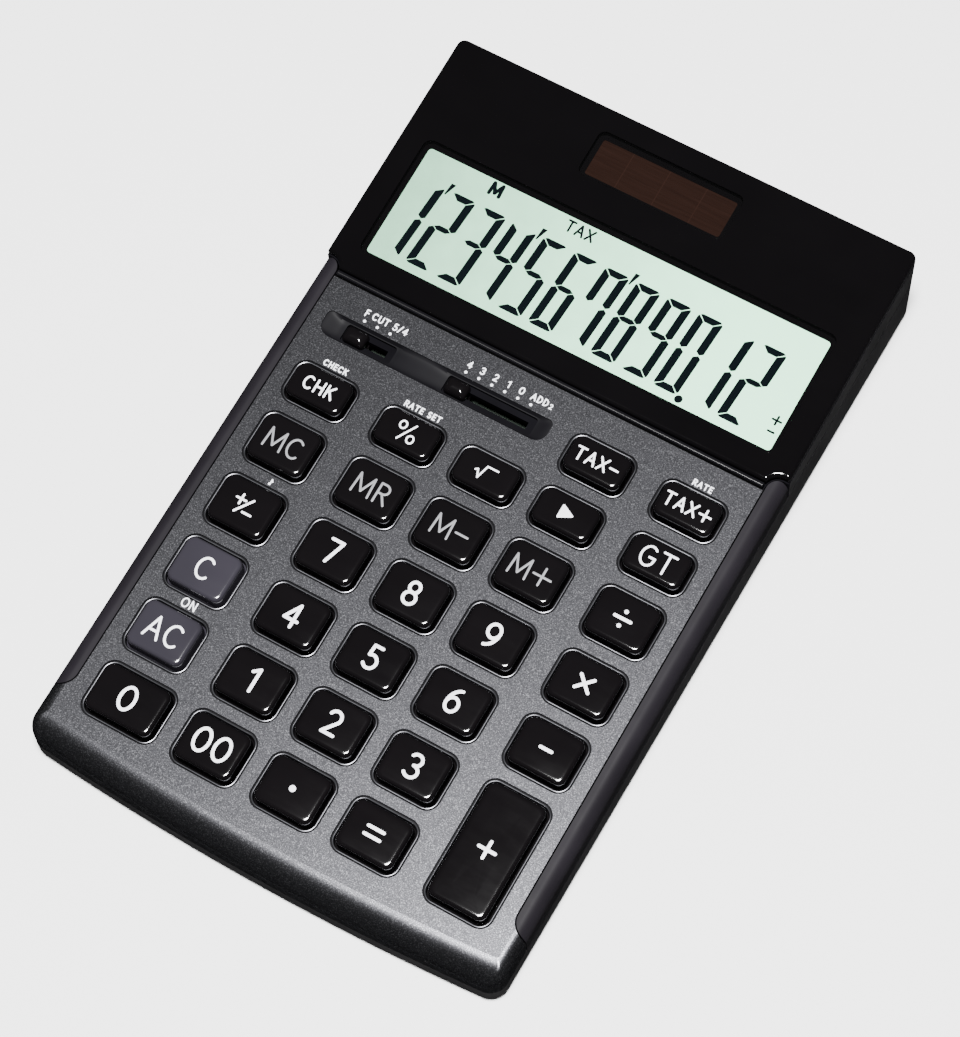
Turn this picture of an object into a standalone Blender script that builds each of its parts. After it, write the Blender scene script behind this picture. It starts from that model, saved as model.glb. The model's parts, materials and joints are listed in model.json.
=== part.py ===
"""Desk calculator: a wedge-shaped case with a tilted display head, 31 sprung keys and two slide switches.

Axes: +X to the user's right, +Y away from the user towards the display, +Z up. The origin is at the middle
of the footprint, on the table. Two sloping frames carry most of the parts: the deck frame lies in the top of
the key panel and the head frame in the display window, and both start at the seam between the two.
"""

import math

import bmesh
import bpy
from mathutils import Matrix, Vector

MM = 0.001

# Overall sizes
WIDTH = 0.109
LENGTH = 0.177
FRONT_HEIGHT = 0.013
DECK_TILT = math.radians(3.0)
HEAD_TILT = math.radians(5.0)

# Case outline, seen from above
HEAD_LENGTH = 0.060
SEAM_Y = LENGTH / 2 - HEAD_LENGTH
FRONT_BOW = 2.4 * MM
CORNER = 4.0 * MM
REAR_CORNER = 1.8 * MM
FRONT_ROLL = 5.4 * MM
SIDE_ROLL = 2.8 * MM
TRIM_WIDTH = 4.0 * MM
PANEL_HALF = WIDTH / 2 - TRIM_WIDTH
TRIM_END_Y = 13.4 * MM - LENGTH / 2
TRIM_NOSE = 3.4 * MM
NOSE_RADIUS = 2.6 * MM

# Walls and clearances
GAP = 0.3 * MM
PANEL = 1.6 * MM
WALL = 1.8 * MM
RIM = 1.5 * MM
WEB = 1.5 * MM
FLOOR = 1.6 * MM
FLOOR_CHAMFER = 1.2 * MM
FOOT_DROP = 0.8 * MM
FLOOR_TOP = FOOT_DROP + FLOOR
SPLIT_DEPTH = 7.4 * MM
SEAM_LIP = 1.0 * MM
SEAM_LIP_HEIGHT = 0.8 * MM

# Keys: each opening in the panel sits inside a slightly larger pressed ring, the well
WELL_WIDTH = 15.4 * MM
WELL_LONG = 12.95 * MM
WELL_SHORT = 10.35 * MM
WIDE_WELL = 17.6 * MM
COLUMN_GAP = 3.2 * MM
OUTER_COLUMN_GAP = 5.5 * MM
ROW_GAP = 2.5 * MM
KEYS_TO_SEAM = 6.2 * MM
LIP = 0.75 * MM
KEY_CORNER = 2.2 * MM
KEY_CLEARANCE = 0.35 * MM
KEY_HEIGHT = 2.3 * MM
KEY_TRAVEL = 2.0 * MM
KEY_EDGE = 0.7 * MM
KEY_DISH = 1.3 * MM
FLANGE = 1.0 * MM
STEM = 0.9 * MM
STEM_INSET = 2.0 * MM
COLUMN_INNER = WELL_WIDTH + COLUMN_GAP
COLUMN_OUTER = COLUMN_INNER + WELL_WIDTH + OUTER_COLUMN_GAP
ROW_PITCH = WELL_LONG + ROW_GAP
ROW_0 = -KEYS_TO_SEAM - WELL_SHORT / 2
ROW_1 = ROW_0 - WELL_SHORT - ROW_GAP
ROW_2 = ROW_1 - (WELL_SHORT + WELL_LONG) / 2 - ROW_GAP

# Inside stack, measured down from the top of the deck
FLANGE_TOP = PANEL + 0.4 * MM
STEM_BOTTOM = FLANGE_TOP + FLANGE + STEM
DOME_TOP = STEM_BOTTOM + KEY_TRAVEL + GAP
DOME = 0.9 * MM
DOME_RADIUS = 3.6 * MM
MAT_TOP = DOME_TOP + DOME
MAT = 0.8 * MM
BOARD_TOP = MAT_TOP + MAT + GAP
BOARD = 1.2 * MM
BOARD_MARGIN = 1.4 * MM
BOARD_TO_SEAM = 2.5 * MM

# Display head
LENS = 1.6 * MM
LENS_PROUD = 1.2 * MM
LENS_EDGE = 0.9 * MM
WINDOW_HALF = 47.75 * MM
WINDOW_FRONT = 8.5 * MM
WINDOW_REAR = 34.6 * MM
SOLAR_HALF = 15.9 * MM
SOLAR_FRONT = 45.1 * MM
SOLAR_REAR = 53.5 * MM
WINDOW_MARGIN = 0.4 * MM
GLASS = 2.1 * MM
GLASS_MARGIN = 1.6 * MM
HOLDER = 1.2 * MM
SOLAR_CELL = 1.1 * MM
RIBBON_HALF = 30 * MM
RIBBON = 0.4 * MM

# Slide switches
RECESS_LEFT = -47.5 * MM
RECESS_RIGHT = 6.2 * MM
RECESS_V = -9.9 * MM
RECESS_WIDTH = 5.6 * MM
RECESS_DEPTH = 1.1 * MM
SLOT_WIDTH = 4.2 * MM
KNOB_LENGTH = 5.2 * MM
KNOB_TOP = 0.6 * MM
NECK_HALF_X = 0.9 * MM
NECK_HALF_Y = 0.5 * MM
SLIDE_GAP = 0.25 * MM
ROUNDING_X = -39.6 * MM
ROUNDING_TRAVEL = 6.1 * MM
DECIMAL_X = -15.3 * MM
DECIMAL_TRAVEL = 15.3 * MM

# Battery, feet and screws on the under side
CELL_X = 21.8 * MM
CELL_Y = SEAM_Y + 26.5 * MM
CELL_RADIUS = 10.0 * MM
CELL = 3.2 * MM
COVER = 0.9 * MM
COVER_LEDGE = 1.3 * MM
COVER_SHIFT = 2.0 * MM
CELL_LOW = FOOT_DROP + COVER + 2 * GAP
WELL_TOP = CELL_LOW + CELL + GAP
WELL_BORE = CELL_RADIUS + 1.4 * MM
WELL_OUTER = WELL_BORE + 1.6 * MM
COVER_HALF_Y = WELL_BORE + COVER_LEDGE
COVER_HALF_X = COVER_HALF_Y + COVER_SHIFT
CONTACT = 0.3 * MM
FOOT_RADIUS = 4.0 * MM
FOOT = 1.5 * MM
FOOT_X = WIDTH / 2 - 15.2 * MM
FOOT_FRONT_Y = 14.2 * MM - LENGTH / 2
FOOT_REAR_Y = LENGTH / 2 - 10.6 * MM
SCREW_FRONT_X = WIDTH / 2 - 8.0 * MM
SCREW_FRONT_Y = 8.6 * MM - LENGTH / 2
SCREW_REAR_X = WIDTH / 2 - 6.5 * MM
SCREW_REAR_Y = LENGTH / 2 - 8.5 * MM
POST_JOINT = FRONT_HEIGHT - SPLIT_DEPTH
SHANK_RADIUS = 1.0 * MM
SCREW_HEAD_RADIUS = 2.0 * MM
SCREW_HEAD_BOTTOM = FOOT_DROP + 0.4 * MM
SCREW_HEAD = 1.4 * MM
SCREW_LENGTH = 6.2 * MM
SCREW_TOP = SCREW_HEAD_BOTTOM + SCREW_HEAD + SCREW_LENGTH

SEAM_Z = FRONT_HEIGHT + (SEAM_Y + LENGTH / 2 - FRONT_ROLL) * math.tan(DECK_TILT)
DECK = Matrix.Translation((0, SEAM_Y, SEAM_Z)) @ Matrix.Rotation(DECK_TILT, 4, "X")
HEAD = Matrix.Translation((0, SEAM_Y, SEAM_Z)) @ Matrix.Rotation(HEAD_TILT, 4, "X")
BOW_STEPS = 10
CORNER_STEPS = 3
ROLL_STEPS = 5
BEYOND = 6 * MM


def clear_scene():
    for thing in list(bpy.data.objects):
        bpy.data.objects.remove(thing, do_unlink=True)


def new_collection(name, shown):
    made = bpy.data.collections.new(name)
    made.hide_render = not shown
    bpy.context.scene.collection.children.link(made)
    return made


def material(name, color, roughness, metallic=0.0):
    made = bpy.data.materials.new(name)
    made.use_nodes = True
    shader = made.node_tree.nodes["Principled BSDF"]
    shader.inputs["Base Color"].default_value = (*color, 1.0)
    shader.inputs["Roughness"].default_value = roughness
    shader.inputs["Metallic"].default_value = metallic
    return made


# ---------------------------------------------------------------- making solids


def solid(name, mesh, frame=None, finish=None):
    """A finished part when it has a material, or else a hidden cutter."""
    thing = bpy.data.objects.new(name, mesh)
    thing.matrix_world = frame or Matrix()
    (PARTS if finish else CUTTERS).objects.link(thing)
    if finish:
        mesh.materials.append(finish)
    else:
        thing.hide_render = True
        thing.display_type = "WIRE"
    return thing


def mesh_from(name, shape):
    bmesh.ops.recalc_face_normals(shape, faces=shape.faces)
    mesh = bpy.data.meshes.new(name)
    shape.to_mesh(mesh)
    shape.free()
    return mesh


def extruded(name, outline, low, high):
    """A flat outline filled and extruded between two heights."""
    curve = bpy.data.curves.new(name, "CURVE")
    curve.dimensions = "2D"
    curve.fill_mode = "BOTH"
    curve.extrude = (high - low) / 2
    spline = curve.splines.new("POLY")
    spline.points.add(len(outline) - 1)
    for point, (x, y) in zip(spline.points, outline):
        point.co = (x, y, 0, 1)
    spline.use_cyclic_u = True
    guide = bpy.data.objects.new(name, curve)
    CUTTERS.objects.link(guide)
    evaluated = guide.evaluated_get(bpy.context.evaluated_depsgraph_get())
    flat = bpy.data.meshes.new_from_object(evaluated)
    bpy.data.objects.remove(guide, do_unlink=True)
    bpy.data.curves.remove(curve)
    shape = bmesh.new()
    shape.from_mesh(flat)
    bpy.data.meshes.remove(flat)
    bmesh.ops.remove_doubles(shape, verts=shape.verts, dist=0.00001)
    bmesh.ops.dissolve_limit(shape, angle_limit=0.001, verts=shape.verts, edges=shape.edges)
    bmesh.ops.translate(shape, verts=shape.verts, vec=(0, 0, (low + high) / 2))
    return mesh_from(name, shape)


def box_mesh(name, low, high):
    """A box between two opposite corners."""
    low = Vector(low)
    high = Vector(high)
    shape = bmesh.new()
    bmesh.ops.create_cube(shape, size=1.0)
    bmesh.ops.scale(shape, verts=shape.verts, vec=high - low)
    bmesh.ops.translate(shape, verts=shape.verts, vec=(low + high) / 2)
    return mesh_from(name, shape)


def cylinder_mesh(name, radius, low, high, sides=16, top_radius=None):
    shape = bmesh.new()
    top_radius = radius if top_radius is None else top_radius
    bmesh.ops.create_cone(
        shape, cap_ends=True, segments=sides, radius1=radius, radius2=top_radius, depth=high - low
    )
    bmesh.ops.translate(shape, verts=shape.verts, vec=(0, 0, (low + high) / 2))
    return mesh_from(name, shape)


def lofted(name, rings):
    """A closed solid through rings that hold the same number of points, from the lowest to the highest."""
    shape = bmesh.new()
    layers = [[shape.verts.new(point) for point in ring] for ring in rings]
    for below, above in zip(layers, layers[1:]):
        for here in range(len(below)):
            after = (here + 1) % len(below)
            shape.faces.new((below[here], below[after], above[after], above[here]))
    shape.faces.new(reversed(layers[0]))
    shape.faces.new(layers[-1])
    return mesh_from(name, shape)


def joined(name, meshes):
    """Several separate closed meshes as one mesh, for a cutter."""
    shape = bmesh.new()
    for mesh in meshes:
        shape.from_mesh(mesh)
        bpy.data.meshes.remove(mesh)
    made = bpy.data.meshes.new(name)
    shape.to_mesh(made)
    shape.free()
    return made


def placed(mesh, frame):
    mesh.transform(frame)
    return mesh


def boolean(target, operation, other):
    step = target.modifiers.new(operation.title() + " " + other.name, "BOOLEAN")
    step.operation = operation
    step.solver = "EXACT"
    step.object = other


def cut(target, name, mesh, frame=None):
    boolean(target, "DIFFERENCE", solid(name, mesh, frame))


def join(target, name, mesh, frame=None):
    boolean(target, "UNION", solid(name, mesh, frame))


# ---------------------------------------------------------------- outlines and heights


def arc(center_x, center_y, radius, start, end, steps=CORNER_STEPS):
    """Points on an arc, with angles in degrees."""
    angles = [math.radians(start + (end - start) * step / steps) for step in range(steps + 1)]
    return [(center_x + radius * math.cos(a), center_y + radius * math.sin(a)) for a in angles]


def rounded(half_x, half_y, radius, x=0.0, y=0.0, steps=1):
    """A rectangle with round corners, anticlockwise."""
    outline = []
    for start, side_x, side_y in ((0, 1, 1), (90, -1, 1), (180, -1, -1), (270, 1, -1)):
        corner_x = x + side_x * (half_x - radius)
        corner_y = y + side_y * (half_y - radius)
        outline += arc(corner_x, corner_y, radius, start, start + 90, steps)
    return outline


def plan(side=0.0, front=0.0, rear=0.0, rear_y=LENGTH / 2, rear_corner=REAR_CORNER):
    """The case seen from above, anticlockwise, moved in by the three insets.

    Each point comes with its share of the front edge's roll: 1 along the bowed front and 0 along the sides.
    """
    half = WIDTH / 2 - side
    radius = max(CORNER - max(side, front), 0.5 * MM)
    rear_radius = max(rear_corner - max(side, rear), 0.4 * MM)
    straight = half - radius
    points = []
    for step in range(BOW_STEPS + 1):
        x = straight * (2 * step / BOW_STEPS - 1)
        bow = FRONT_BOW * (2 * x / WIDTH) ** 2
        points.append((x, -LENGTH / 2 + front + bow, 1.0))
    corner_y = points[-1][1] + radius
    for step in range(1, CORNER_STEPS + 1):
        angle = math.radians(90 * step / CORNER_STEPS)
        x = straight + radius * math.sin(angle)
        points.append((x, corner_y - radius * math.cos(angle), 1 - step / CORNER_STEPS))
    back_y = rear_y - rear
    rear_straight = half - rear_radius
    for x, y in arc(rear_straight, back_y - rear_radius, rear_radius, 0, 90):
        points.append((x, y, 0.0))
    for x, y in arc(-rear_straight, back_y - rear_radius, rear_radius, 90, 180):
        points.append((x, y, 0.0))
    for step in range(CORNER_STEPS):
        angle = math.radians(90 * (1 - step / CORNER_STEPS))
        x = -straight - radius * math.sin(angle)
        points.append((x, corner_y - radius * math.cos(angle), step / CORNER_STEPS))
    return points


def deck_z(y):
    return SEAM_Z + (y - SEAM_Y) * math.tan(DECK_TILT)


def head_z(y):
    return SEAM_Z + (y - SEAM_Y) * math.tan(HEAD_TILT)


def split_z(y):
    """The joint line between the lower case and everything above it."""
    return deck_z(y) - SPLIT_DEPTH


def ring(points, height, offset=0.0):
    return [(x, y, height(y) + offset) for x, y, share in points]


def level(z):
    return lambda y: z


def rolled_body(name, inset, bottom, rear_y):
    """The deck's outer form with its rolled edges, or the same form moved in by a wall thickness."""
    rings = [ring(plan(inset, inset, rear_y=rear_y, rear_corner=0), split_z, bottom)]
    side_roll = SIDE_ROLL - inset
    front_roll = FRONT_ROLL - inset
    for step in range(ROLL_STEPS + 1):
        angle = math.radians(90 * step / ROLL_STEPS)
        inward = 1 - math.cos(angle)
        points = plan(inset + side_roll * inward, inset + front_roll * inward, rear_y=rear_y, rear_corner=0)
        drop = 1 - math.sin(angle)
        rolls = [side_roll + (front_roll - side_roll) * share for x, y, share in points]
        rings.append(
            [(x, y, deck_z(y) - inset - roll * drop) for (x, y, share), roll in zip(points, rolls)]
        )
    return lofted(name, rings)


def trim_region(name, side, grow):
    """The strip of plan that one side trim covers, widened inward and at its ends by grow."""
    inner = PANEL_HALF + GAP - grow
    outer = WIDTH / 2 + 2 * MM
    nose = NOSE_RADIUS
    end_y = TRIM_END_Y - grow
    end_radius = WIDTH / 2 - inner
    nose_y = SEAM_Y + TRIM_NOSE + grow
    outline = [(outer, end_y)]
    outline += arc(WIDTH / 2, end_y + end_radius, end_radius, 270, 180)
    outline += arc(inner + nose, nose_y - nose, nose, 180, 90)
    outline += [(outer, nose_y)]
    outline = [(side * x, y) for x, y in outline]
    return extruded(name, outline, 0.0, SEAM_Z + BEYOND)


# ---------------------------------------------------------------- the key layout


def key_places():
    """Name, x, v (along the deck from the seam), well width and well length of each key."""
    columns = (-COLUMN_OUTER, -COLUMN_INNER, 0.0, COLUMN_INNER, COLUMN_OUTER)
    rows = [ROW_0, ROW_1] + [ROW_2 - ROW_PITCH * step for step in range(5)]
    names = (
        (None, None, None, "key_tax_minus", "key_tax_plus"),
        ("key_check", "key_percent", "key_square_root", "key_shift_right", "key_grand_total"),
        ("key_memory_clear", "key_memory_recall", "key_memory_minus", "key_memory_plus", "key_divide"),
        ("key_sign_change", "key_7", "key_8", "key_9", "key_multiply"),
        ("key_clear_entry", "key_4", "key_5", "key_6", "key_minus"),
        ("key_all_clear", "key_1", "key_2", "key_3", "key_plus"),
        ("key_0", "key_double_zero", "key_decimal_point", "key_equals", None),
    )
    places = []
    for row, v in zip(names, rows):
        well_length = WELL_SHORT if v in (ROW_0, ROW_1) else WELL_LONG
        for name, x in zip(row, columns):
            if name == "key_0":
                widened = x + (WIDE_WELL - WELL_WIDTH) / 2
                places.append((name, widened, v, WIDE_WELL, well_length))
            elif name == "key_plus":
                places.append((name, x, v - ROW_PITCH / 2, WELL_WIDTH, well_length + ROW_PITCH))
            elif name:
                places.append((name, x, v, WELL_WIDTH, well_length))
    return places


def key_prisms(name, grow, low, high, corner):
    """One prism for each key, in the deck frame, larger than the key's opening by grow all round."""
    prisms = []
    for key, x, v, well_width, well_length in key_places():
        half_x = well_width / 2 - LIP + grow
        half_y = well_length / 2 - LIP + grow
        prisms.append(extruded(key + "_cut", rounded(half_x, half_y, corner, x, v), low, high))
    return joined(name, prisms)


# ---------------------------------------------------------------- case parts


def make_face_plate(finish):
    """The painted key panel: rolled over the front edge, with the key openings and the switch recess."""
    rear = SEAM_Y + BEYOND
    plate = solid("face_plate", rolled_body("face_plate", 0.0, GAP, rear), finish=finish)
    cut(plate, "panel_inside", rolled_body("panel_inside", PANEL, -BEYOND, rear + BEYOND))
    for side, label in ((-1, "left"), (1, "right")):
        region = trim_region("trim_clearance_" + label, side, GAP)
        cut(plate, "trim_clearance_" + label, region)
    behind = box_mesh("behind_seam", (-WIDTH, SEAM_Y - GAP / 2, 0), (WIDTH, LENGTH, SEAM_Z + BEYOND))
    cut(plate, "behind_seam", behind)
    wells = key_prisms("plate_openings", 0.0, -2 * PANEL, PANEL, KEY_CORNER)
    cut(plate, "plate_openings", wells, DECK)
    recess_x = (RECESS_LEFT + RECESS_RIGHT) / 2
    recess_half = (RECESS_RIGHT - RECESS_LEFT) / 2
    radius = RECESS_WIDTH / 2 - 0.2 * MM
    outline = rounded(recess_half, RECESS_WIDTH / 2, radius, recess_x, RECESS_V, CORNER_STEPS)
    cut(plate, "switch_recess", extruded("switch_recess", outline, -RECESS_DEPTH, PANEL), DECK)
    slots = []
    for x, travel in ((ROUNDING_X, ROUNDING_TRAVEL), (DECIMAL_X, DECIMAL_TRAVEL)):
        left = x - KNOB_LENGTH / 2 - GAP
        right = x + travel + KNOB_LENGTH / 2 + GAP
        low = (left, RECESS_V - SLOT_WIDTH / 2, -2 * PANEL)
        slots.append(box_mesh("slot", low, (right, RECESS_V + SLOT_WIDTH / 2, PANEL)))
    cut(plate, "switch_slots", joined("switch_slots", slots), DECK)


def make_side_trims(finish):
    """The two rounded shoulder strips beside the key panel."""
    rear = SEAM_Y + BEYOND
    for side, label in ((-1, "left"), (1, "right")):
        body = rolled_body("side_trim_" + label, 0.0, GAP, rear)
        trim = solid("side_trim_" + label, body, finish=finish)
        inside = rolled_body("trim_inside_" + label, PANEL, -BEYOND, rear + BEYOND)
        cut(trim, "trim_inside_" + label, inside)
        region = trim_region("trim_strip_" + label, side, 0.0)
        boolean(trim, "INTERSECT", solid("trim_strip_" + label, region))


def make_upper_case(finish):
    """The frame that carries the key panel and the display head, with the web that guides the keys."""
    side = SIDE_ROLL + 0.4 * MM
    front = FRONT_ROLL + 0.8 * MM
    deck_rear = SEAM_Y + 2 * MM
    web_top = -PANEL - GAP
    web_bottom = web_top - WEB
    outer = [
        ring(plan(side, front, rear_y=deck_rear, rear_corner=0), split_z, GAP),
        ring(plan(side, front, rear_y=deck_rear, rear_corner=0), deck_z, web_top),
    ]
    case = solid("upper_case", lofted("upper_case", outer), finish=finish)
    head_front = SEAM_Y + GAP / 2
    head_outline = [(x, y, share) for x, y, share in plan() if y > head_front]
    head_outline += [(-WIDTH / 2, head_front, 0.0), (WIDTH / 2, head_front, 0.0)]
    head_top = LENS_PROUD - LENS - GAP
    head = lofted("head_block", [ring(head_outline, split_z, GAP), ring(head_outline, head_z, head_top)])
    join(case, "head_block", head)
    cavity = plan(side + RIM, front + WALL, rear_y=deck_rear + BEYOND, rear_corner=0)
    cavity_rings = [ring(cavity, level(-BEYOND)), ring(cavity, deck_z, web_bottom)]
    cut(case, "deck_cavity", lofted("deck_cavity", cavity_rings))
    hollow = [(x, y, share) for x, y, share in plan(WALL, rear=WALL) if y > deck_rear]
    hollow += [(WALL - WIDTH / 2, deck_rear, 0.0), (WIDTH / 2 - WALL, deck_rear, 0.0)]
    hollow_rings = [ring(hollow, level(-BEYOND)), ring(hollow, head_z, head_top - PANEL)]
    cut(case, "head_cavity", lofted("head_cavity", hollow_rings))
    for trim_side, label in ((-1, "left"), (1, "right")):
        region = trim_region("case_trim_clearance_" + label, trim_side, GAP)
        cut(case, "case_trim_clearance_" + label, region)
    grow = 2 * KEY_CLEARANCE
    openings = key_prisms("web_openings", grow, -2 * BEYOND, PANEL, 0.3 * MM)
    cut(case, "web_openings", openings, DECK)
    slits = []
    for x, travel in ((ROUNDING_X, ROUNDING_TRAVEL), (DECIMAL_X, DECIMAL_TRAVEL)):
        half_x = NECK_HALF_X + GAP
        half_y = NECK_HALF_Y + GAP
        low = (x - half_x, RECESS_V - half_y, -2 * BEYOND)
        slits.append(box_mesh("slit", low, (x + travel + half_x, RECESS_V + half_y, PANEL)))
    cut(case, "web_slits", joined("web_slits", slits), DECK)
    windows = [
        box_mesh(
            "display_window_cut",
            (-WINDOW_HALF - WINDOW_MARGIN, WINDOW_FRONT - WINDOW_MARGIN, -BEYOND),
            (WINDOW_HALF + WINDOW_MARGIN, WINDOW_REAR + WINDOW_MARGIN, BEYOND),
        ),
        box_mesh(
            "solar_window_cut",
            (-SOLAR_HALF - WINDOW_MARGIN, SOLAR_FRONT - WINDOW_MARGIN, -BEYOND),
            (SOLAR_HALF + WINDOW_MARGIN, SOLAR_REAR + WINDOW_MARGIN, BEYOND),
        ),
    ]
    cut(case, "head_windows", joined("head_windows", windows), HEAD)
    lip = box_mesh(
        "seam_lip",
        (GAP - PANEL_HALF, GAP / 2, -PANEL - GAP - WEB),
        (PANEL_HALF - GAP, GAP / 2 + SEAM_LIP, SEAM_LIP_HEIGHT),
    )
    join(case, "seam_lip", lip, DECK)
    for label, x, y in screw_places():
        rear_post = y > 0
        top = head_z(y) + head_top - PANEL / 2 if rear_post else deck_z(y) + web_bottom + WEB / 2
        post = cylinder_mesh("upper_post_" + label, 2.5 * MM, POST_JOINT + GAP, top)
        join(case, "upper_post_" + label, placed(post, Matrix.Translation((x, y, 0))))
        bore = cylinder_mesh("upper_bore_" + label, SHANK_RADIUS + GAP, 0, SCREW_TOP + GAP, 12)
        cut(case, "upper_bore_" + label, placed(bore, Matrix.Translation((x, y, 0))))


def screw_places():
    return (
        ("front_left", -SCREW_FRONT_X, SCREW_FRONT_Y),
        ("front_right", SCREW_FRONT_X, SCREW_FRONT_Y),
        ("rear_left", -SCREW_REAR_X, SCREW_REAR_Y),
        ("rear_right", SCREW_REAR_X, SCREW_REAR_Y),
    )


def foot_places():
    return (
        ("front_left", -FOOT_X, FOOT_FRONT_Y),
        ("front_right", FOOT_X, FOOT_FRONT_Y),
        ("rear_left", -FOOT_X, FOOT_REAR_Y),
        ("rear_right", FOOT_X, FOOT_REAR_Y),
    )


def make_lower_case(finish):
    """The tub under everything: floor, walls, screw posts, board rests, battery well and foot recesses."""
    outer = [
        ring(plan(FLOOR_CHAMFER, FLOOR_CHAMFER, FLOOR_CHAMFER), level(FOOT_DROP)),
        ring(plan(), level(FOOT_DROP + FLOOR_CHAMFER)),
        ring(plan(), split_z),
    ]
    case = solid("lower_case", lofted("lower_case", outer), finish=finish)
    inner = plan(WALL, WALL, WALL)
    inside = lofted("tub_inside", [ring(inner, level(FLOOR_TOP)), ring(inner, split_z, BEYOND)])
    cut(case, "tub_inside", inside)
    posts = []
    for label, x, y in screw_places():
        post = cylinder_mesh("lower_post", 3.3 * MM, FOOT_DROP + FLOOR / 2, POST_JOINT)
        posts.append(placed(post, Matrix.Translation((x, y, 0))))
    join(case, "lower_posts", joined("lower_posts", posts))
    rests = []
    for x in (-COLUMN_OUTER + 10.5 * MM, COLUMN_OUTER - 10.5 * MM):
        for v in (ROW_2 + ROW_PITCH / 2, ROW_2 - 3.5 * ROW_PITCH):
            y = SEAM_Y + v
            top = deck_z(y) - BOARD_TOP - BOARD - 1.5 * GAP
            rest = cylinder_mesh("board_rest", 2 * MM, FOOT_DROP + FLOOR / 2, top, 10)
            rests.append(placed(rest, Matrix.Translation((x, y, 0))))
    join(case, "board_rests", joined("board_rests", rests))
    cell = Matrix.Translation((CELL_X, CELL_Y, 0))
    well = cylinder_mesh("battery_well", WELL_OUTER, FOOT_DROP + FLOOR / 2, WELL_TOP, 32)
    join(case, "battery_well", placed(well, cell))
    hole = cylinder_mesh("battery_hole", WELL_BORE, -BEYOND, WELL_TOP + BEYOND, 32)
    cut(case, "battery_hole", placed(hole, cell))
    cover_boss = cylinder_mesh("cover_boss", 2.6 * MM, FOOT_DROP + FLOOR / 2, POST_JOINT)
    join(case, "cover_boss", placed(cover_boss, Matrix.Translation(cover_screw_place())))
    ledge_outline = rounded(COVER_HALF_X + GAP, COVER_HALF_Y + GAP, 2 * MM, steps=2)
    seat = extruded("cover_seat", ledge_outline, FOOT_DROP - BEYOND, FOOT_DROP + COVER + GAP)
    seat_place = Matrix.Translation((CELL_X - COVER_SHIFT, CELL_Y, 0))
    cut(case, "cover_seat", placed(seat, seat_place))
    bores = [cylinder_mesh("cover_bore", 1.2 * MM, -BEYOND, POST_JOINT - 0.8 * MM, 12)]
    placed(bores[0], Matrix.Translation(cover_screw_place()))
    for label, x, y in screw_places():
        place = Matrix.Translation((x, y, 0))
        head_top = SCREW_HEAD_BOTTOM + SCREW_HEAD + GAP
        bore = cylinder_mesh("bore", SHANK_RADIUS + GAP, head_top - MM, POST_JOINT + MM, 12)
        bores.append(placed(bore, place))
    cut(case, "screw_bores", joined("screw_bores", bores))
    sinks = []
    for label, x, y in screw_places():
        place = Matrix.Translation((x, y, 0))
        head_top = SCREW_HEAD_BOTTOM + SCREW_HEAD + GAP
        sinks.append(placed(cylinder_mesh("sink", SCREW_HEAD_RADIUS + GAP, -BEYOND, head_top), place))
    for label, x, y in foot_places():
        place = Matrix.Translation((x, y, 0))
        recess = cylinder_mesh("recess", FOOT_RADIUS + GAP, -BEYOND, FOOT + GAP, 20)
        sinks.append(placed(recess, place))
    cut(case, "underside_recesses", joined("underside_recesses", sinks))


def cover_screw_place():
    return (CELL_X - COVER_SHIFT - COVER_HALF_X + 2.6 * MM, CELL_Y, 0)


def make_screw(name, x, y, head_bottom, length, finish):
    """A pan head with a cross recess over a plain shank, pointing up."""
    place = Matrix.Translation((x, y, 0))
    shank_low = head_bottom + SCREW_HEAD / 2
    head = cylinder_mesh(name, SCREW_HEAD_RADIUS, head_bottom, head_bottom + SCREW_HEAD)
    screw = solid(name, head, place, finish)
    shank = cylinder_mesh(name + "_shank", SHANK_RADIUS, shank_low, head_bottom + SCREW_HEAD + length, 10)
    join(screw, name + "_shank", shank, place)
    depth = 0.7 * MM
    slots = [
        (1.2 * MM, 0.25 * MM),
        (0.25 * MM, 1.2 * MM),
    ]
    for number, (half_x, half_y) in enumerate(slots):
        low = (-half_x, -half_y, head_bottom - depth)
        slot = box_mesh(name + "_slot", low, (half_x, half_y, head_bottom + depth))
        cut(screw, f"{name}_slot_{number}", slot, place)


def make_fasteners_and_feet(steel, rubber):
    for label, x, y in screw_places():
        make_screw("case_screw_" + label, x, y, SCREW_HEAD_BOTTOM, SCREW_LENGTH, steel)
    for label, x, y in foot_places():
        pad = cylinder_mesh("rubber_foot_" + label, FOOT_RADIUS - 0.4 * MM, 0, FOOT, 20, FOOT_RADIUS)
        solid("rubber_foot_" + label, pad, Matrix.Translation((x, y, 0)), rubber)


# ---------------------------------------------------------------- display head


def lens_outline(inset):
    """The display window from above in the head frame, notched at the front for the noses of the trims."""
    half = WIDTH / 2 - inset
    front = GAP / 2 + SEAM_LIP + GAP + inset
    rear = (LENGTH / 2 - SEAM_Y) / math.cos(HEAD_TILT) - inset
    nose_x = PANEL_HALF + GAP + NOSE_RADIUS
    nose_v = TRIM_NOSE - NOSE_RADIUS
    reach = NOSE_RADIUS + 0.5 * MM + inset
    radius = REAR_CORNER - inset
    start = 180 - math.degrees(math.asin((front - nose_v) / reach))
    right = arc(nose_x, nose_v, reach, start, 90) + [(half, nose_v + reach)]
    right += arc(half - radius, rear - radius, radius, 0, 90)
    return right + [(-x, y) for x, y in reversed(right)]


def make_display_window(finish):
    """The black window that covers the whole head, with a rounded rim."""
    bottom = LENS_PROUD - LENS
    rings = [(0.0, bottom), (0.0, LENS_PROUD - LENS_EDGE)]
    rings += [(LENS_EDGE * 0.3, LENS_PROUD - LENS_EDGE * 0.3), (LENS_EDGE, LENS_PROUD)]
    layers = [[(x, y, z) for x, y in lens_outline(inset)] for inset, z in rings]
    solid("display_window", lofted("display_window", layers), HEAD, finish)


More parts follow.
